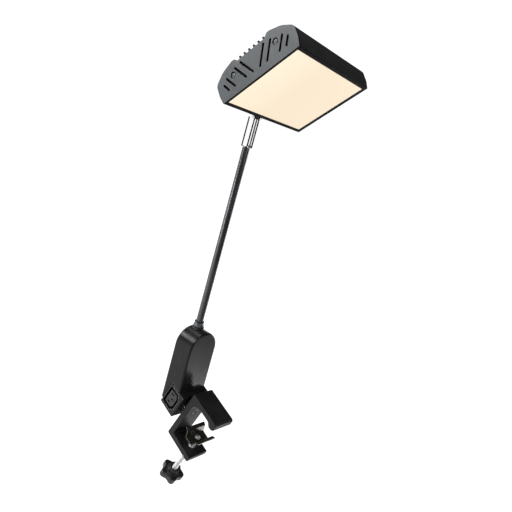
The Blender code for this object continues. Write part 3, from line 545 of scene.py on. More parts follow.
def ridgedRodTree():
    # a rod whose skin is cut by ridges that climb as they go round: threads, or knurls where they don't climb
    floats = "Radius, Length, Depth, Turns Per Metre, Lead In"
    tree, given = makeTree("ridgedRod", Float=floats, Int="Ridges, Segments, Rings")

    def solve(operation, first, second=0.0):
        return calculated(tree, operation, first, second)

    sizes = {
        "Vertices": given["Segments"], "Side Segments": given["Rings"],
        "Radius": given["Radius"], "Depth": given["Length"],
    }
    rod = addNode(tree, "GeometryNodeMeshCylinder", sizes)
    position = addNode(tree, "GeometryNodeInputPosition").outputs[0]
    split = addNode(tree, "ShaderNodeSeparateXYZ", {0: position}).outputs
    angle = solve("DIVIDE", solve("ARCTAN2", split["Y"], split["X"]), 2 * math.pi)
    climb = solve("MULTIPLY", split["Z"], given["Turns Per Metre"])
    phase = solve("SUBTRACT", climb, solve("MULTIPLY", angle, given["Ridges"]))
    wave = solve("MULTIPLY", solve("PINGPONG", phase, 0.5), 2)
    groove = ranged(tree, wave, (0.82, 0.15), interpolation_type="SMOOTHSTEP")
    toEnd = solve("SUBTRACT", solve("MULTIPLY", given["Length"], 0.5), solve("ABSOLUTE", split["Z"]))
    taper = ranged(tree, toEnd, (0.0, given["Lead In"]), (1.0, 0.0))
    inset = solve("MULTIPLY", solve("MAXIMUM", groove, taper), given["Depth"])
    shrink = solve("SUBTRACT", 1.0, solve("DIVIDE", inset, given["Radius"]))
    factor = addNode(tree, "ShaderNodeCombineXYZ", {"X": shrink, "Y": shrink, "Z": 1.0}).outputs[0]
    moved = addNode(tree, "ShaderNodeVectorMath", {0: position, 1: factor}, operation="MULTIPLY").outputs[0]
    shaped = addNode(tree, "GeometryNodeSetPosition", {"Geometry": rod.outputs["Mesh"], "Position": moved})
    closeTree(tree, shaped.outputs[0], given["Material"])
    return tree


def roundedBar(tree, width, height, rounding, start, end):
    # a bar with softened edges, from start to end
    shape = addNode(tree, "GeometryNodeCurvePrimitiveQuadrilateral", {"Width": width, "Height": height})
    fillet = {"Curve": shape.outputs[0], "Radius": rounding, "Count": 4, "Limit Radius": True}
    soft = addNode(tree, "GeometryNodeFilletCurve", fillet, mode="POLY")
    line = addNode(tree, "GeometryNodeCurvePrimitiveLine", {"Start": start, "End": end})
    sweep = {"Curve": line.outputs[0], "Profile Curve": soft.outputs[0], "Fill Caps": True}
    return addNode(tree, "GeometryNodeCurveToMesh", sweep).outputs[0]


def finRowTree():
    # straight cooling fins side by side, each along X
    vectors = "Pitch, First, Start, End"
    tree, given = makeTree("finRow", Int="Count", Vector=vectors, Float="Thickness, Height, Rounding")
    fin = roundedBar(tree, *(given[label] for label in ("Thickness", "Height", "Rounding", "Start", "End")))
    spots = {"Count": given["Count"], "Start Location": given["First"], "Offset": given["Pitch"]}
    row = addNode(tree, "GeometryNodeMeshLine", spots)
    copies = addNode(tree, "GeometryNodeInstanceOnPoints", {"Points": row.outputs[0], "Instance": fin})
    closeTree(tree, copies.outputs[0], given["Material"])
    return tree


def toothRingTree():
    # short bars standing round a circle, such as the detent teeth of the swivel disc
    floats = "Radius, Width, Depth, Rounding"
    tree, given = makeTree("toothRing", Int="Count", Float=floats, Vector="Start, End")
    tooth = roundedBar(tree, *(given[label] for label in ("Depth", "Width", "Rounding", "Start", "End")))
    circle = addNode(tree, "GeometryNodeMeshCircle", {"Vertices": given["Count"], "Radius": given["Radius"]})
    index = addNode(tree, "GeometryNodeInputIndex").outputs[0]
    angle = calculated(tree, "MULTIPLY", calculated(tree, "DIVIDE", index, given["Count"]), 2 * math.pi)
    turn = addNode(tree, "ShaderNodeCombineXYZ", {"Z": angle}).outputs[0]
    spots = {"Points": circle.outputs[0], "Instance": tooth, "Rotation": turn}
    copies = addNode(tree, "GeometryNodeInstanceOnPoints", spots)
    closeTree(tree, copies.outputs[0], given["Material"])
    return tree


def screwSetTree():
    # one screw copied to every point, aimed and sized by the points' own attributes
    tree, given = makeTree("screwSet", Geometry="Points", Object="Screw")

    def attribute(name, kind):
        return addNode(tree, "GeometryNodeInputNamedAttribute", {"Name": name}, data_type=kind).outputs[0]

    screw = addNode(tree, "GeometryNodeObjectInfo", {"Object": given["Screw"]}).outputs["Geometry"]
    spots = {
        "Points": given["Points"], "Instance": screw,
        "Rotation": attribute("aim", "FLOAT_VECTOR"), "Scale": attribute("size", "FLOAT"),
    }
    copies = addNode(tree, "GeometryNodeInstanceOnPoints", spots)
    closeTree(tree, copies.outputs[0], given["Material"])
    return tree


ridgedRod = ridgedRodTree()
finRow = finRowTree()
toothRing = toothRingTree()
screwSet = screwSetTree()


def crossScrew():
    # a pan head with a cross recess, its seat at zero and its shank below
    radius, crown, arm, thin, floor = 3, 1.6, 1.8, 0.42, 0.6
    head = [(0, 1.0), (0.55, 0.97), (0.8, 0.82), (0.95, 0.55), (1, 0.25)]
    shank = [(1, 0), (0.36, 0), (0.36, -2.2), (0, -2.4)]
    profile = [(a * radius, b * crown) for a, b in head] + [(a * radius, b * radius) for a, b in shank]
    screw = turned("crossScrew", profile, steps=40)
    arms = [block("arm", (-a, -b, floor), (a, b, 3)) for a, b in ((arm, thin), (thin, arm))]
    return combine(screw, *arms)


def screws(name, spots, body, finish, replaces):
    # spots: (place in metres, direction the head faces, size)
    mesh = bpy.data.meshes.new(name)
    mesh.from_pydata([spot for spot, aim, size in spots], [], [])
    aims = []
    for i, (spot, aim, size) in enumerate(spots):
        turn = Vector(aim).to_track_quat("Z", "X").to_matrix().to_4x4()
        aims += (turn @ Matrix.Rotation(math.radians(20 + 47 * i), 4, "Z")).to_euler()
    mesh.attributes.new("aim", "FLOAT_VECTOR", "POINT").data.foreach_set("vector", aims)
    sizes = [size for spot, aim, size in spots]
    mesh.attributes.new("size", "FLOAT", "POINT").data.foreach_set("value", sizes)
    made = grown(name, screwSet, {"Screw": screwModel, "Material": surface(finish)}, source=mesh)
    return finished(made, body, finish, replaces)


screwModel = crossScrew()
screwModel.hide_render = True
print("node trees made")

# ---- clamp ----

clamp = {"width": 35, "edge": 0.7, "insertFlange": 7.5, "screwY": 13.5, "back": 39.5, "boltZ": -21.6}
screwLine = (0, clamp["screwY"], 0)
boltSeat = (0, clamp["back"], clamp["boltZ"])


def makeClamp():
    outline = softened(
        [
            (48.3, 12, 1.4), (-6.2, 12, 3.5), (-6.2, 2.8, 1.3), (-2.6, 0, 1.1), (2.6, 0, 1.5), (7.5, 4.4, 3),
            (39.5, 4.4, 14), (39.5, -61.6, 1.8), (-3.4, -61.6, 1.2), (-3.4, -70, 2.5), (48.3, -70, 2.2),
        ],
        12,
    )
    half = clamp["width"] / 2
    bracket = plate("clampBracket", [outline], -half, half, "X", edge=clamp["edge"])
    sink = [(0, -1), (5.85, -1), (5.85, 0.35), (5.75, 0.6), (3.3, 3.7), (3.3, 12), (0, 12)]
    boltHole = turned("sink", sink, axis="Y", centre=boltSeat)
    bore = [(0, -58), (6.4, -58), (6.4, -61.4), (5.7, -62.2), (5.7, -75), (0, -75)]
    screwHole = turned("bore", bore, centre=screwLine)
    combine(bracket, boltHole, screwHole)
    finished(bracket, "clamp", "powderCoatedCasting", ["clamp_bracket"])
    flange = clamp["insertFlange"]
    profile = [
        (4.05, -61.8), (4.4, -61.5), (5.5, -61.5), (5.5, -70.3), (flange, -70.3), (flange, -71.1),
        (flange - 0.4, -71.4), (4.4, -71.4), (4.05, -71.1),
    ]
    insert = turned("threadInsert", profile, centre=screwLine)
    finished(insert, "clamp", "zincPlatedSteel", ["thread_insert"])


makeClamp()

# ---- swivel between clamp and box ----

swivel = {"discRadius": 15.6, "low": 48.6, "high": 53.2, "teeth": 24, "toothWidth": 2.5, "toothDepth": 2.6}


def makeSwivel():
    radius, low, high = swivel["discRadius"], swivel["low"], swivel["high"]
    core = turned("swivelDisc", ring(3.2, radius, low, high, 0.5), axis="Y", centre=(0, 0, clamp["boltZ"]))
    place = Matrix.Translation((0, 0, clamp["boltZ"] * mm)) @ Matrix.Rotation(math.radians(-90), 4, "X")
    values = {
        "Count": swivel["teeth"], "Radius": (radius + 0.1) * mm, "Rounding": 0.6 * mm,
        "Start": (0, 0, (low + 0.2) * mm), "End": (0, 0, (high - 0.2) * mm),
        "Width": swivel["toothWidth"] * mm, "Depth": swivel["toothDepth"] * mm,
        "Material": surface("glassFilledNylon"),
    }
    gathered(core, grown("teeth", toothRing, values, place))
    finished(core, "clamp", "glassFilledNylon", ["swivel_disc"])
    head = [(0, 0.15), (5.5, 0.15), (5.65, 0.3), (5.65, 0.6), (2.9, 3.4), (2.9, 24), (0, 24)]
    bolt = turned("swivelBolt", head, axis="Y", centre=boltSeat)
    key = plate("key", [ringPoints((0, clamp["boltZ"]), 2.35, 6)], 38.5, 42, "Y")
    combine(bolt, key)
    finished(bolt, "clamp", "blackOxideSteel", ["swivel_bolt"])


makeSwivel()
print("clamp and swivel made")

# ---- saddle, screw and knob ----

saddle = {"width": 34, "edge": 0.4, "sheet": 1.8, "base": -47}
knob = {"top": -121.5, "height": 9.5, "lobes": 5, "radius": 16.2, "wave": 2.2, "turn": 21, "edge": 1.8}
spindle = {"radius": 3.95, "pitch": 1.25, "depth": 0.28, "top": -47.3, "bottom": -129.5}


def makeSaddle():
    base, sheet, half = saddle["base"], saddle["sheet"], saddle["width"] / 2
    right = [
        (7.3, base, 2), (11, base + 10, 2.5), (15, base + 11.5, 0.45), (14.2, base + 11.5 + sheet, 0.45),
        (9.5, base + 10 + sheet * 0.72, 1.5), (6.3, base + sheet * 1.02, 1),
    ]
    shape = [(clamp["screwY"] + a, b) for a, b in softened(bothSides(right), 8)]
    sheetPiece = plate("saddleSheet", [shape], -half, half, "X", edge=saddle["edge"])
    hole = [(0, base + 5), (2.8, base + 5), (2.8, base - 5), (0, base - 5)]
    combine(sheetPiece, turned("hole", hole, centre=screwLine))
    finished(sheetPiece, "saddle", "blackZincSheet", ["saddle"])
    clip = turned("saddleClip", ring(2.8, 4.3, -44.8, -43.8, 0.3), centre=screwLine)
    finished(clip, "saddle", "zincPlatedSteel", ["saddle_clip"])


def makeScrew():
    top, bottom = spindle["top"], spindle["bottom"]
    values = {
        "Radius": spindle["radius"] * mm, "Length": (top - bottom) * mm, "Depth": spindle["depth"] * mm,
        "Turns Per Metre": 1000 / spindle["pitch"], "Ridges": 1, "Segments": 40, "Lead In": 1.2 * mm,
        "Rings": int((top - bottom) / spindle["pitch"] * 10), "Material": surface("zincPlatedSteel"),
    }
    middle = Matrix.Translation((0, clamp["screwY"] * mm, (top + bottom) / 2 * mm))
    rod = grown("clampScrew", ridgedRod, values, middle)
    nose = [(0, -42.8), (1.5, -42.8), (2.1, -43.0), (2.45, -43.5), (2.5, -44), (2.5, -47.5), (0, -47.5)]
    gathered(rod, turned("nose", nose, centre=screwLine, steps=48))
    finished(rod, "screw", "zincPlatedSteel", ["clamp_screw"], smooth=45)


def makeKnob():
    star, steps, middle = [], knob["lobes"] * 36, clamp["screwY"]
    for i in range(steps):
        angle = 2 * math.pi * i / steps
        lobe = math.cos(knob["lobes"] * (angle - math.radians(knob["turn"])))
        radius = knob["radius"] + knob["wave"] * lobe
        star.append((radius * math.cos(angle), middle + radius * math.sin(angle)))
    top, bottom = knob["top"], knob["top"] - knob["height"]
    outlines = [star, ringPoints((0, middle), 4.3, 48)]
    grip = plate("starKnob", outlines, bottom, top, "Z", edge=knob["edge"], steps=5)
    collar = [
        (4.25, -2), (4.25, 5.5), (6.2, 5.5), (6.8, 5.3), (7.1, 4.8), (7.2, 3.3), (7.5, 2.7),
        (8.3, 2.5), (8.6, 2.1), (8.6, 0.6), (9.2, 0.5), (9.9, 0.3), (10.2, -0.2), (10.2, -2),
    ]
    gathered(grip, turned("collar", [(r, top + h) for r, h in collar], centre=screwLine))
    finished(grip, "screw", "glassFilledNylon", ["knob"])
    base = bottom - 0.3
    crown = [(0, 0), (7, 0), (7, 0.5), (6.7, 0.9), (5.6, 1.15), (3, 1.28), (0, 1.3)]
    cap = turned("knobCap", [(r, base - h) for r, h in crown], centre=screwLine)
    finished(cap, "screw", "glassFilledNylon", ["knob_cap"])


makeSaddle()
makeScrew()
makeKnob()
print("saddle, screw and knob made")

# ---- mains socket housing ----

sockets = {"middleY": 70, "middleZ": -21.6, "length": 29, "height": 22.5, "cut": 5.8, "depth": 15, "half": 25}


def socketShape(length, height, cut, soft=2.5):
    y, z = sockets["middleY"], sockets["middleZ"]
    near, far, low, high = y - height / 2, y + height / 2, z - length / 2, z + length / 2
    corners = [
        (far, high, soft), (near + cut, high, 0.9), (near, high - cut, 0.9),
        (near, low + cut, 0.9), (near + cut, low, 0.9), (far, low, soft),
    ]
    return softened(corners, 6)


def poleShapes(sizeY, sizeZ, soft=0.25):
    shapes = []
    for shiftY, shiftZ in ((1.95, 7), (1.95, -7), (-1.95, 0)):
        y, z = sockets["middleY"] + shiftY, sockets["middleZ"] + shiftZ
        signs = ((1, 1), (-1, 1), (-1, -1), (1, -1))
        shapes.append(softened([(y + a * sizeY / 2, z + b * sizeZ / 2, soft) for a, b in signs], 3))
    return shapes


def makeSocketHousing():
    length, height, half = sockets["length"], sockets["height"], sockets["half"]
    housing = block("socketHousing", (-half, 53.5, -40.6), (half, 83.5, -2.6), edge=1.0, segments=5)
    cavity = block("cavity", (-half + 2, 55.5, -38.6), (half - 2, 81.5, -4.6))
    window = plate("window", [socketShape(length + 3.0, height + 3.0, 6.6)], -half - 5, half + 5, "X")
    boltHole = plate("boltHole", [ringPoints((0, -21.6), 3.2)], 50, 60, "Y")
    combine(housing, cavity, window, boltHole)
    # its edges carry the finish's painted highlight
    finished(housing, "box", "rubbedAbs", ["socket_housing"])


def socketCup(name, recess, tubeSpan, floorSpan):
    rim = socketShape(sockets["length"] + 2.4, sockets["height"] + 2.4, 6.3)
    tube = plate(name, [rim, recess], *tubeSpan, "X", edge=0.25)
    return gathered(tube, plate("floor", [rim], *floorSpan, "X", edge=0.2))


def makeOutlet():
    length, height, face = sockets["length"], sockets["height"], -sockets["half"]
    spans = (face + 0.1, face + sockets["depth"]), (face + 13.2, face + 14.9)
    tube = socketCup("outlet", socketShape(length, height, sockets["cut"]), *spans)
    outlines = [socketShape(length - 7.4, height - 6.8, 3.6, 1.6), *poleShapes(4.8, 2.4)]
    tongue = plate("tongue", outlines, face + 0.9, face + 13.6, "X", edge=0.22)
    gathered(tube, tongue)
    finished(tube, "box", "glassFilledNylon", ["outlet_shell"])


def makeInlet():
    length, height, face = sockets["length"], sockets["height"], sockets["half"]
    spans = (face - sockets["depth"], face - 0.1), (face - 14.9, face - 13.2)
    tube = socketCup("inlet", socketShape(length - 3.6, height - 4, 4.6), *spans)
    finished(tube, "box", "glassFilledNylon", ["inlet_shell"])
    low, high = face - 14.5, face - 2.5
    pins = [plate("inletPins", [shape], low, high, "X", edge=0.6) for shape in poleShapes(4, 2, 0.65)]
    finished(gathered(*pins), "box", "nickelPlatedBrass", ["inlet_pins"])


makeSocketHousing()
makeOutlet()
makeInlet()
print("mains socket made")

# ---- driver box ----

driverBox = {"front": -20.3, "rear": 11.8, "parting": -4, "tail": -109, "arch": 25, "edge": 2.6, "wall": 2}


def archShape(inset, bottom):
    radius = driverBox["arch"] - inset
    return arcPoints((0, -driverBox["arch"]), radius, 0, 180, 72) + [(-radius, bottom), (radius, bottom)]


def makeDriverBox():
    front, rear, wall, parting = (driverBox[key] for key in ("front", "rear", "wall", "parting"))
    far = 60
    for name, low, high, node in (
        ("rearHousing", parting - far, parting + 0.15, "rear_housing"),
        ("frontHousing", parting - 0.15, parting + far, "front_housing"),
    ):
        shape = [archShape(0, driverBox["tail"])]
        shell = plate(name, shape, front, rear, "Y", boxPlace, driverBox["edge"], 7)
        cavity = plate("cavity", [archShape(wall, -130)], front + wall, rear - wall, "Y", boxPlace, 1.0, 2)
        otherSide = block("otherSide", (-far, low, -200), (far, high, far), boxPlace)
        foot = block("foot", (-far, 53.2, -80.6), (far, 83.8, -2.3))
        neck = plate("neck", [ringPoints((0, 0), 8)], -12, 5, "Z", boxPlace)
        combine(shell, cavity, otherSide, foot, neck)
        finished(shell, "box", "texturedAbs", [node])
    spots = []
    back = boxPlace.to_3x3() @ Vector((0, 1, 0))
    for x in (-18.5, 18.5):
        for z in (-30, -68):
            spots.append((boxPlace @ Vector((x * mm, (rear + 0.1) * mm, z * mm)), back, 0.93))
    nodes = [f"housing_screw_{i}" for i in (1, 2, 3, 4)]
    screws("housingScrews", spots, "box", "blackOxideSteel", nodes)


makeDriverBox()
print("driver box made")

# ---- arm ----

arm = {"radius": 5, "bore": 4, "top": 258, "bottom": -16, "knurls": 40, "knurlDepth": 0.25}


def makeArm():
    radius = arm["radius"]
    bush = [(5.3, 2.3), (8.0, 2.3), (8.6, 1.8), (8.6, 0.9), (7.7, 0.9), (7.7, -8), (5.3, -8)]
    finished(turned("armBush", bush, boxPlace), "box", "glassFilledNylon", ["arm_bush"])
    body = [(5.3, 8.4), (6.2, 8.4, 0.4), (6.6, 6.2, 0.3), (6.6, 2.6, 0.2), (5.3, 2.6)]
    nut = turned("collarNut", softened(body, 4), boxPlace)
    values = {
        "Radius": 7.4 * mm, "Length": 3.2 * mm, "Depth": arm["knurlDepth"] * mm, "Turns Per Metre": 0.0,
        "Ridges": arm["knurls"], "Segments": arm["knurls"] * 6, "Rings": 8, "Lead In": 0.5 * mm,
        "Material": surface("zincPlatedSteel"),
    }
    band = grown("band", ridgedRod, values, boxPlace @ Matrix.Translation((0, 0, 4.3 * mm)))
    combine(band, plate("hole", [ringPoints((0, 0), 5.3)], 0, 9, "Z", boxPlace))
    gathered(nut, band)
    finished(nut, "box", "satinNickelledSteel", ["collar_nut"])
    collar = turned("collarRing", ring(5.3, 6.8, 8.7, 10.4, 0.4), boxPlace)
    finished(collar, "arm", "glassFilledNylon", ["collar_ring"])
    corners = [
        (arm["bore"], arm["top"], 0.15), (radius, arm["top"], 0.3),
        (radius, arm["bottom"], 0.3), (arm["bore"], arm["bottom"], 0.15),
    ]
    tube = turned("armTube", softened(corners, 3), boxPlace)
    finished(tube, "arm", "anodisedTube", ["arm_tube"])


makeArm()

# ---- fork and hinge ----

fork = {
    "width": 11.5, "depth": 10.5, "slot": 6.5, "bridge": 261.2, "foot": 258.3, "pivot": 300,
    "edge": 0.6, "rim": 0.7, "rearRim": 2.7, "raised": 0.12,
}
bolt = {"hole": 2.7, "seat": 6.05, "washer": 0.8, "face": 7.15}


def prongShape(front, rear):
    # a prong's outline and pivot hole, drawn in from its front and rear edges
    low, high = front - fork["depth"] / 2, fork["depth"] / 2 - rear
    foot, pivot = fork["foot"] + front, fork["pivot"]
    corners = softened([(low, pivot), (low, foot, 1.0), (high, foot, 1.0), (high, pivot)], 6)
    arch = arcPoints(((low + high) / 2, pivot), (high - low) / 2, 0, 180, 40)
    return [corners[:-1] + arch[:-1], ringPoints((0, pivot), bolt["hole"] + front)]


def makeFork():
    inner, outer, raised = fork["slot"] / 2, fork["width"] / 2, fork["raised"]
    # the black prong bodies show as borders round the chrome inlays: painted reflection, the dark lines the
    # chrome's edges mirror
    bodies, bright = [], []
    for side in (-1, 1):
        low, high = sorted((side * (inner + raised), side * (outer - raised)))
        bodies.append(plate("forkRims", prongShape(0, 0), low, high, "X", boxPlace, fork["edge"]))
        low, high = sorted((side * inner, side * outer))
        inlay = prongShape(fork["rim"], fork["rearRim"])
        bright.append(plate("forkBlock", inlay, low, high, "X", boxPlace, 0.15))
    low, high, back = fork["foot"] + 0.3, fork["bridge"], fork["depth"] / 2 - 0.3
    corners = [(1, low, 0.8), (back, low, 0.8), (back, high, 0.6), (1, high, 0.6)]
    bright.append(plate("bridge", [softened(corners, 5)], -inner - 1, inner + 1, "X", boxPlace, 0.3))
    bright.append(turned("stem", [(0, 260), (3.7, 260), (3.7, 244.4), (3.3, 244), (0, 244)], boxPlace))
    finished(gathered(*bright), "arm", "chromePlatedBrass", ["fork"])
    finished(gathered(*bodies), "arm", "blackChromedBrass", ["fork"])


def makeHinge():
    hole, seat, thick, face = bolt["hole"], bolt["seat"], bolt["washer"], bolt["face"]
    washer = softened([(hole, thick), (4.6, thick, 0.25), (4.6, 0, 0.25), (hole, 0)], 4)
    for side, x in (("Right", seat), ("Left", -seat - thick)):
        made = turned("pivotWasher" + side, washer, headPlace, "X", (x, 0, 0))
        finished(made, "arm", "zincPlatedSteel", ["pivot_washer_" + side.lower()])
    head = [
        (0, 2.6), (2.6, 2.55), (3.4, 2.3), (4.0, 1.7), (4.2, 0.9), (4.2, 0),
        (2.4, 0), (2.4, -18.2), (2.1, -18.9), (0, -18.9),
    ]
    shank = turned("pivotBolt", [(r, -h) for r, h in head], headPlace, "X", (-face, 0, 0))
    combine(shank, plate("key", [ringPoints((0, 0), 1.75, 6)], -face - 4, -face - 1, "X", headPlace))
    finished(shank, "arm", "zincPlatedSteel", ["pivot_bolt"])
    outlines = [ringPoints((0, 0), 4.5, 6), ringPoints((0, 0), hole)]
    nut = plate("pivotNut", outlines, face, face + 4, "X", headPlace)
    cone = [(0, 5), (3.4, 5), (4.6, 3.2), (4.6, 0.8), (3.6, -1), (0, -1)]
    combine(nut, turned("cone", cone, headPlace, "X", (face, 0, 0)), operation="INTERSECT")
    finished(nut, "arm", "zincPlatedSteel", ["pivot_nut"])


makeFork()
makeHinge()
print("arm, fork and hinge made")

# ---- light panel ----

panel = {
    "pivotToMiddle": 67.1, "pivotDepth": 13.5, "length": 150, "capThickness": 2.5, "slotWidth": 2.6,
    "port": (31.4, 23.2), "portRadius": 3.4, "sink": 1.6, "sinkRadius": 3.8, "screwSize": 0.95,
    "litFrom": -73.6, "litTo": 71.2, "litHalf": 50.5,
}
fins = {"count": 6, "pitch": 7, "thickness": 2, "height": 6.6, "top": 40.2, "rounding": 0.5}


def panelPoint(height, depth):
    # from the middle of the lit face to the hinge's own place
    return (depth - panel["pivotDepth"], height + panel["pivotToMiddle"])


def onPanel(points):
    return [panelPoint(height, depth) for height, depth in points]


def backHalf():
    return [
        (55.5, 0, 1), (57.5, 10, 4), (57.5, 25, 8), (44, 34.5, 25),
        (29, 39.2, 8), (24.3, 39.2, 1.2), (20.3, 35, 0.8),
    ]


def makeHousing():
    port, radius = panel["port"], panel["portRadius"]
    opening = math.degrees(math.asin(1 / radius))
    inner = [
        (21.3, 33, 0.8), (25.1, 37.2, 1), (28.7, 37.2), (port[0] - 1, 36.4),
        *arcPoints(port, radius, 90 + opening, 450 - opening, 24), (port[0] + 1, 35.8), (43, 32.7, 20),
        (55.5, 23.9, 6), (55.5, 9.8, 3), (54.7, 5.4), (48.5, 4.6), (48.5, 2.8), (50.9, 2.8), (50.9, 0),
    ]
    inside = [(-corner[0], *corner[1:]) for corner in inner[::-1]] + inner
    outline = onPanel(softened(bothSides(backHalf()) + inside, 10))
    holes = [onPanel(ringPoints((side * port[0], port[1]), 1.3, 24)) for side in (-1, 1)]
    half = panel["length"] / 2 - 0.2
    housing = plate("headHousing", [outline, *holes], -half, half, "X", headPlace)
    values = {  # the tree's section lies on its side, so a fin's height is its first measure
        "Count": fins["count"], "Pitch": (0, 0, fins["pitch"] * mm),
        "First": (0, 0, -(fins["count"] - 1) / 2 * fins["pitch"] * mm),
        "Start": (-half * mm, 0, 0), "End": (half * mm, 0, 0), "Thickness": fins["height"] * mm,
        "Height": fins["thickness"] * mm, "Rounding": fins["rounding"] * mm,
        "Material": surface("anodisedAluminium"),
    }
    row = grown("fins", finRow, values)
    depth, height = panelPoint(0, fins["top"] - fins["height"] / 2)
    row.data.transform(headPlace @ Matrix.Translation((0, depth * mm, height * mm)))
    gathered(housing, row)
    finished(housing, "head", "anodisedAluminium", ["head_housing"])
    # painted shade: the faces turned the same way as the lit face, towards the floor at rest, get the matt
    # black
    litWay = headPlace.to_3x3() @ Vector((0, -1, 0))
    paintFaces(housing, "bareBlackRim", lambda middle, way: way.dot(litWay) > 0.5)


def makeEndCaps():
    foot = 10.3  # where every vent begins
    runs = [(5.2, 17, 30.2), (15.5, 26.6, 29.1), (33, 41.2, 24.1), (42.3, 47, 18.7)]
    loops = [onPanel(softened(bothSides(backHalf()), 10))]
    for side in (-1, 1):
        for start, end, high in runs:
            loops.append(onPanel(slotPoints((side * start, foot), (side * end, high), panel["slotWidth"])))
        loops.append(onPanel(ringPoints((side * panel["port"][0], panel["port"][1]), 1.6, 32)))
    inner = panel["length"] / 2
    outer = inner + panel["capThickness"]
    spots = []
    for name, side in (("left", -1), ("right", 1)):
        low, high = sorted((side * inner, side * outer))
        cap = plate(name + "EndCap", loops, low, high, "X", headPlace, 0.2)
        sunk = side * (outer - panel["sink"])
        for sign in (-1, 1):
            y, z = panelPoint(sign * panel["port"][0], panel["port"][1])
            face, floor = sorted((sunk, side * (outer + 3)))
            recess = [ringPoints((y, z), panel["sinkRadius"], 48)]
            combine(cap, plate("sink", recess, face, floor, "X", headPlace))
            spots.append((headPlace @ (Vector((sunk, y, z)) * mm), (side, 0, 0), panel["screwSize"]))
        finished(cap, "head", "paintedEndPlate", [name + "_end_cap"])
        paintFaces(cap, "bareBlackRim", lambda middle, way: abs(way.x) < 0.6)
    return spots


def makeLug():
    foot = panel["pivotToMiddle"] - 57.5 - 2.5
    arch = arcPoints((0, 0), 4.4, 180, 360, 40)
    half = fork["slot"] / 2 - 0.3
    outlines = [[*arch, (4.4, foot + 1), (-4.4, foot + 1)], ringPoints((0, 0), bolt["hole"])]
    tongue = plate("headLug", outlines, -half, half, "X", headPlace, 0.4)
    base = block("base", (-13, -3.4, foot), (13, 6.2, foot + 2.4), headPlace, 0.5)
    gathered(tongue, base)
    finished(tongue, "head", "anodisedAluminium", ["head_lug"])
    down = headPlace.to_3x3() @ Vector((0, 0, -1))
    return [(headPlace @ (Vector((x, 1.5, foot - 0.05)) * mm), down, 0.8) for x in (-9.5, 9.5)]


def makeDiffuser():
    start, end = panel["litFrom"], panel["litTo"]
    low, high = panel["pivotToMiddle"] - panel["litHalf"], panel["pivotToMiddle"] + panel["litHalf"]
    rim = softened([(start, low, 0.8), (end, low, 0.8), (end, high, 0.8), (start, high, 0.8)], 4)
    front, rear = 0.3 - panel["pivotDepth"], 2.5 - panel["pivotDepth"]
    sheet = plate("diffuserSheet", [rim], front, rear, "Y", headPlace, 0.35)
    finished(sheet, "head", opalAcrylic(), ["diffuser"])


def makeEndStrips():
    # black bars that close the lip round the sheet at both ends
    front, rear = 0.1 - panel["pivotDepth"], 2.7 - panel["pivotDepth"]
    low, high = panel["pivotToMiddle"] - 50.8, panel["pivotToMiddle"] + 50.8
    spans = ((-74.9, panel["litFrom"] - 0.1), (panel["litTo"] + 0.1, 74.9))
    strips = [block("endStrips", (a, front, low), (b, rear, high), headPlace, 0.2) for a, b in spans]
    finished(gathered(*strips), "head", "bareBlackRim")


def makeVentShadeSheet():
    # painted shade: a black sheet that keeps the light inside from showing through the end vents, so that
    # they look dark
    half = [(50, 6), (50, 24, 3), (42, 31, 6), (26, 35, 3), (19, 31, 2)]
    loops = [onPanel(softened(bothSides(half), 6))]
    for side in (-1, 1):
        loops.append(onPanel(ringPoints((side * panel["port"][0], panel["port"][1]), 4.6, 32)))
    shadeSheets = [plate("ventFilm", loops, low, low + 0.4, "X", headPlace) for low in (-74.4, 74.0)]
    finished(gathered(*shadeSheets), "head", "blackFilm")


makeHousing()
makeEndStrips()
makeVentShadeSheet()
spots = makeEndCaps() + makeLug()
nodes = [f"{side}_cap_screw_{place}" for side in ("left", "right") for place in ("near", "far")]
nodes += ["lug_screw_left", "lug_screw_right"]
screws("panelScrews", spots, "head", "satinNickelledSteel", nodes)
makeDiffuser()
bpy.data.objects.remove(screwModel)
print("light panel made")

# ---- the CAD nodes that stay ----

kept = {
    "zincPlatedSteel": ("swivel_washer", "swivel_nut", "arm_retainer"),
    "nickelPlatedBrass": ("outlet_contacts",),
    "whitePolycarbonate": ("board_pad", "terminal_block", "reflector_frame", "led_board"),
    "solderMaskLaminate": ("driver_board",),
    "windingTape": ("transformer",),
    "shrinkSleeve": ("capacitor_left", "capacitor_right"),
    "extrudedPvc": ("arm_lead",),
}
for finish, names in kept.items():
    for name in names:
        for place in frame["nodes"][name].material_slots:
            place.material = surface(finish)
print("inner parts finished")

# ---- studio ----

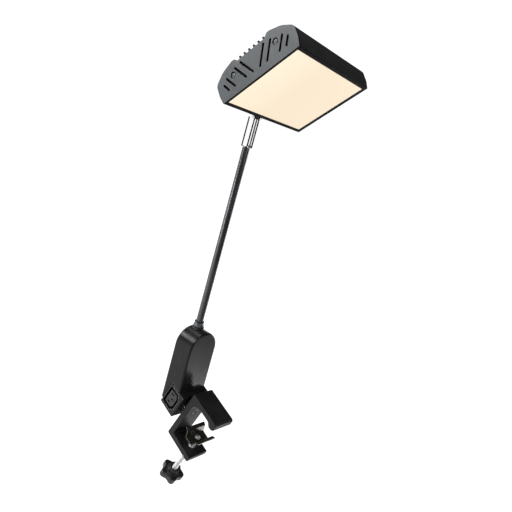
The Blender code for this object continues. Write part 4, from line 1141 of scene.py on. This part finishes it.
studio = {
    "floor": -0.45,  # metres: the lamp hangs by its clamp, well above the paper
    "floorGlow": 1.0,
    "paper": "#8c8c8c",
    "skyGlow": 1.0,
    "dim": "#3a3b3d",  # what stands above the horizon, as reflections see it
    "lights": [
        # place, size and watts of each soft light, all aimed at the lamp
        ("leftRear", (-1.05, 1.66, 0.66), 0.60, 16),
        ("overLeft", (-1.34, 0.82, 1.30), 0.20, 20),
        ("left", (-1.80, 0.75, -0.20), 0.35, 6),
        ("frontLeft", (-0.76, -1.00, 1.57), 0.35, 12),
        ("frontHigh", (0.15, -1.60, 1.50), 1.0, 9),
        ("frontLow", (0.78, -0.74, -0.38), 0.20, 1.7),
        ("rearHigh", (0.20, 1.85, 1.70), 0.8, 16),
        ("right", (1.90, -0.20, 0.20), 0.8, 10),
    ],
}


def paper(name, strength):
    white = hexToLinear("#ffffff")
    inputs = {"Base Color": hexToLinear(studio["paper"]), "Roughness": 0.9, "Emission Color": white}
    return newMaterial(name, {**inputs, "Emission Strength": strength})[0]


def makeStudio():
    scene = bpy.context.scene
    scene.view_settings.view_transform = "Standard"
    world = bpy.data.worlds.new("studio")
    scene.world = world
    world.use_nodes = True
    world.node_tree.nodes["Background"].inputs["Color"].default_value = hexToLinear(studio["dim"])
    for name, size, finish in (("floor", 8.0, "paleSeamlessPaper"), ("backdrop", 7.0, "whiteBackdrop")):
        mesh = bpy.data.meshes.new(name)
        work = bmesh.new()
        isFloor = name == "floor"
        if isFloor:
            bmesh.ops.create_circle(work, cap_ends=True, segments=96, radius=size)
        else:
            bmesh.ops.create_icosphere(work, subdivisions=4, radius=size)
            bmesh.ops.reverse_faces(work, faces=work.faces)
        work.to_mesh(mesh)
        work.free()
        mesh.transform(Matrix.Translation((0, 0, studio["floor"] if isFloor else 0)))
        piece = newPiece(name, mesh)
        mesh.materials.append(paper(finish, studio["floorGlow"] if isFloor else studio["skyGlow"]))
        if not isFloor:
            for way in ("visible_glossy", "visible_diffuse", "visible_shadow", "visible_transmission"):
                setattr(piece, way, False)
    middle = Vector((0, 0.1, 0.2))
    for name, place, size, power in studio["lights"]:
        data = bpy.data.lights.new(name, "AREA")
        data.shape = "DISK"
        data.size = size
        data.energy = power
        light = bpy.data.objects.new(name, data)
        scene.collection.objects.link(light)
        light.location = place
        light.rotation_mode = "QUATERNION"
        light.rotation_quaternion = (Vector(place) - middle).to_track_quat("Z", "Y")
        light.visible_camera = False


makeStudio()
print("studio lit")
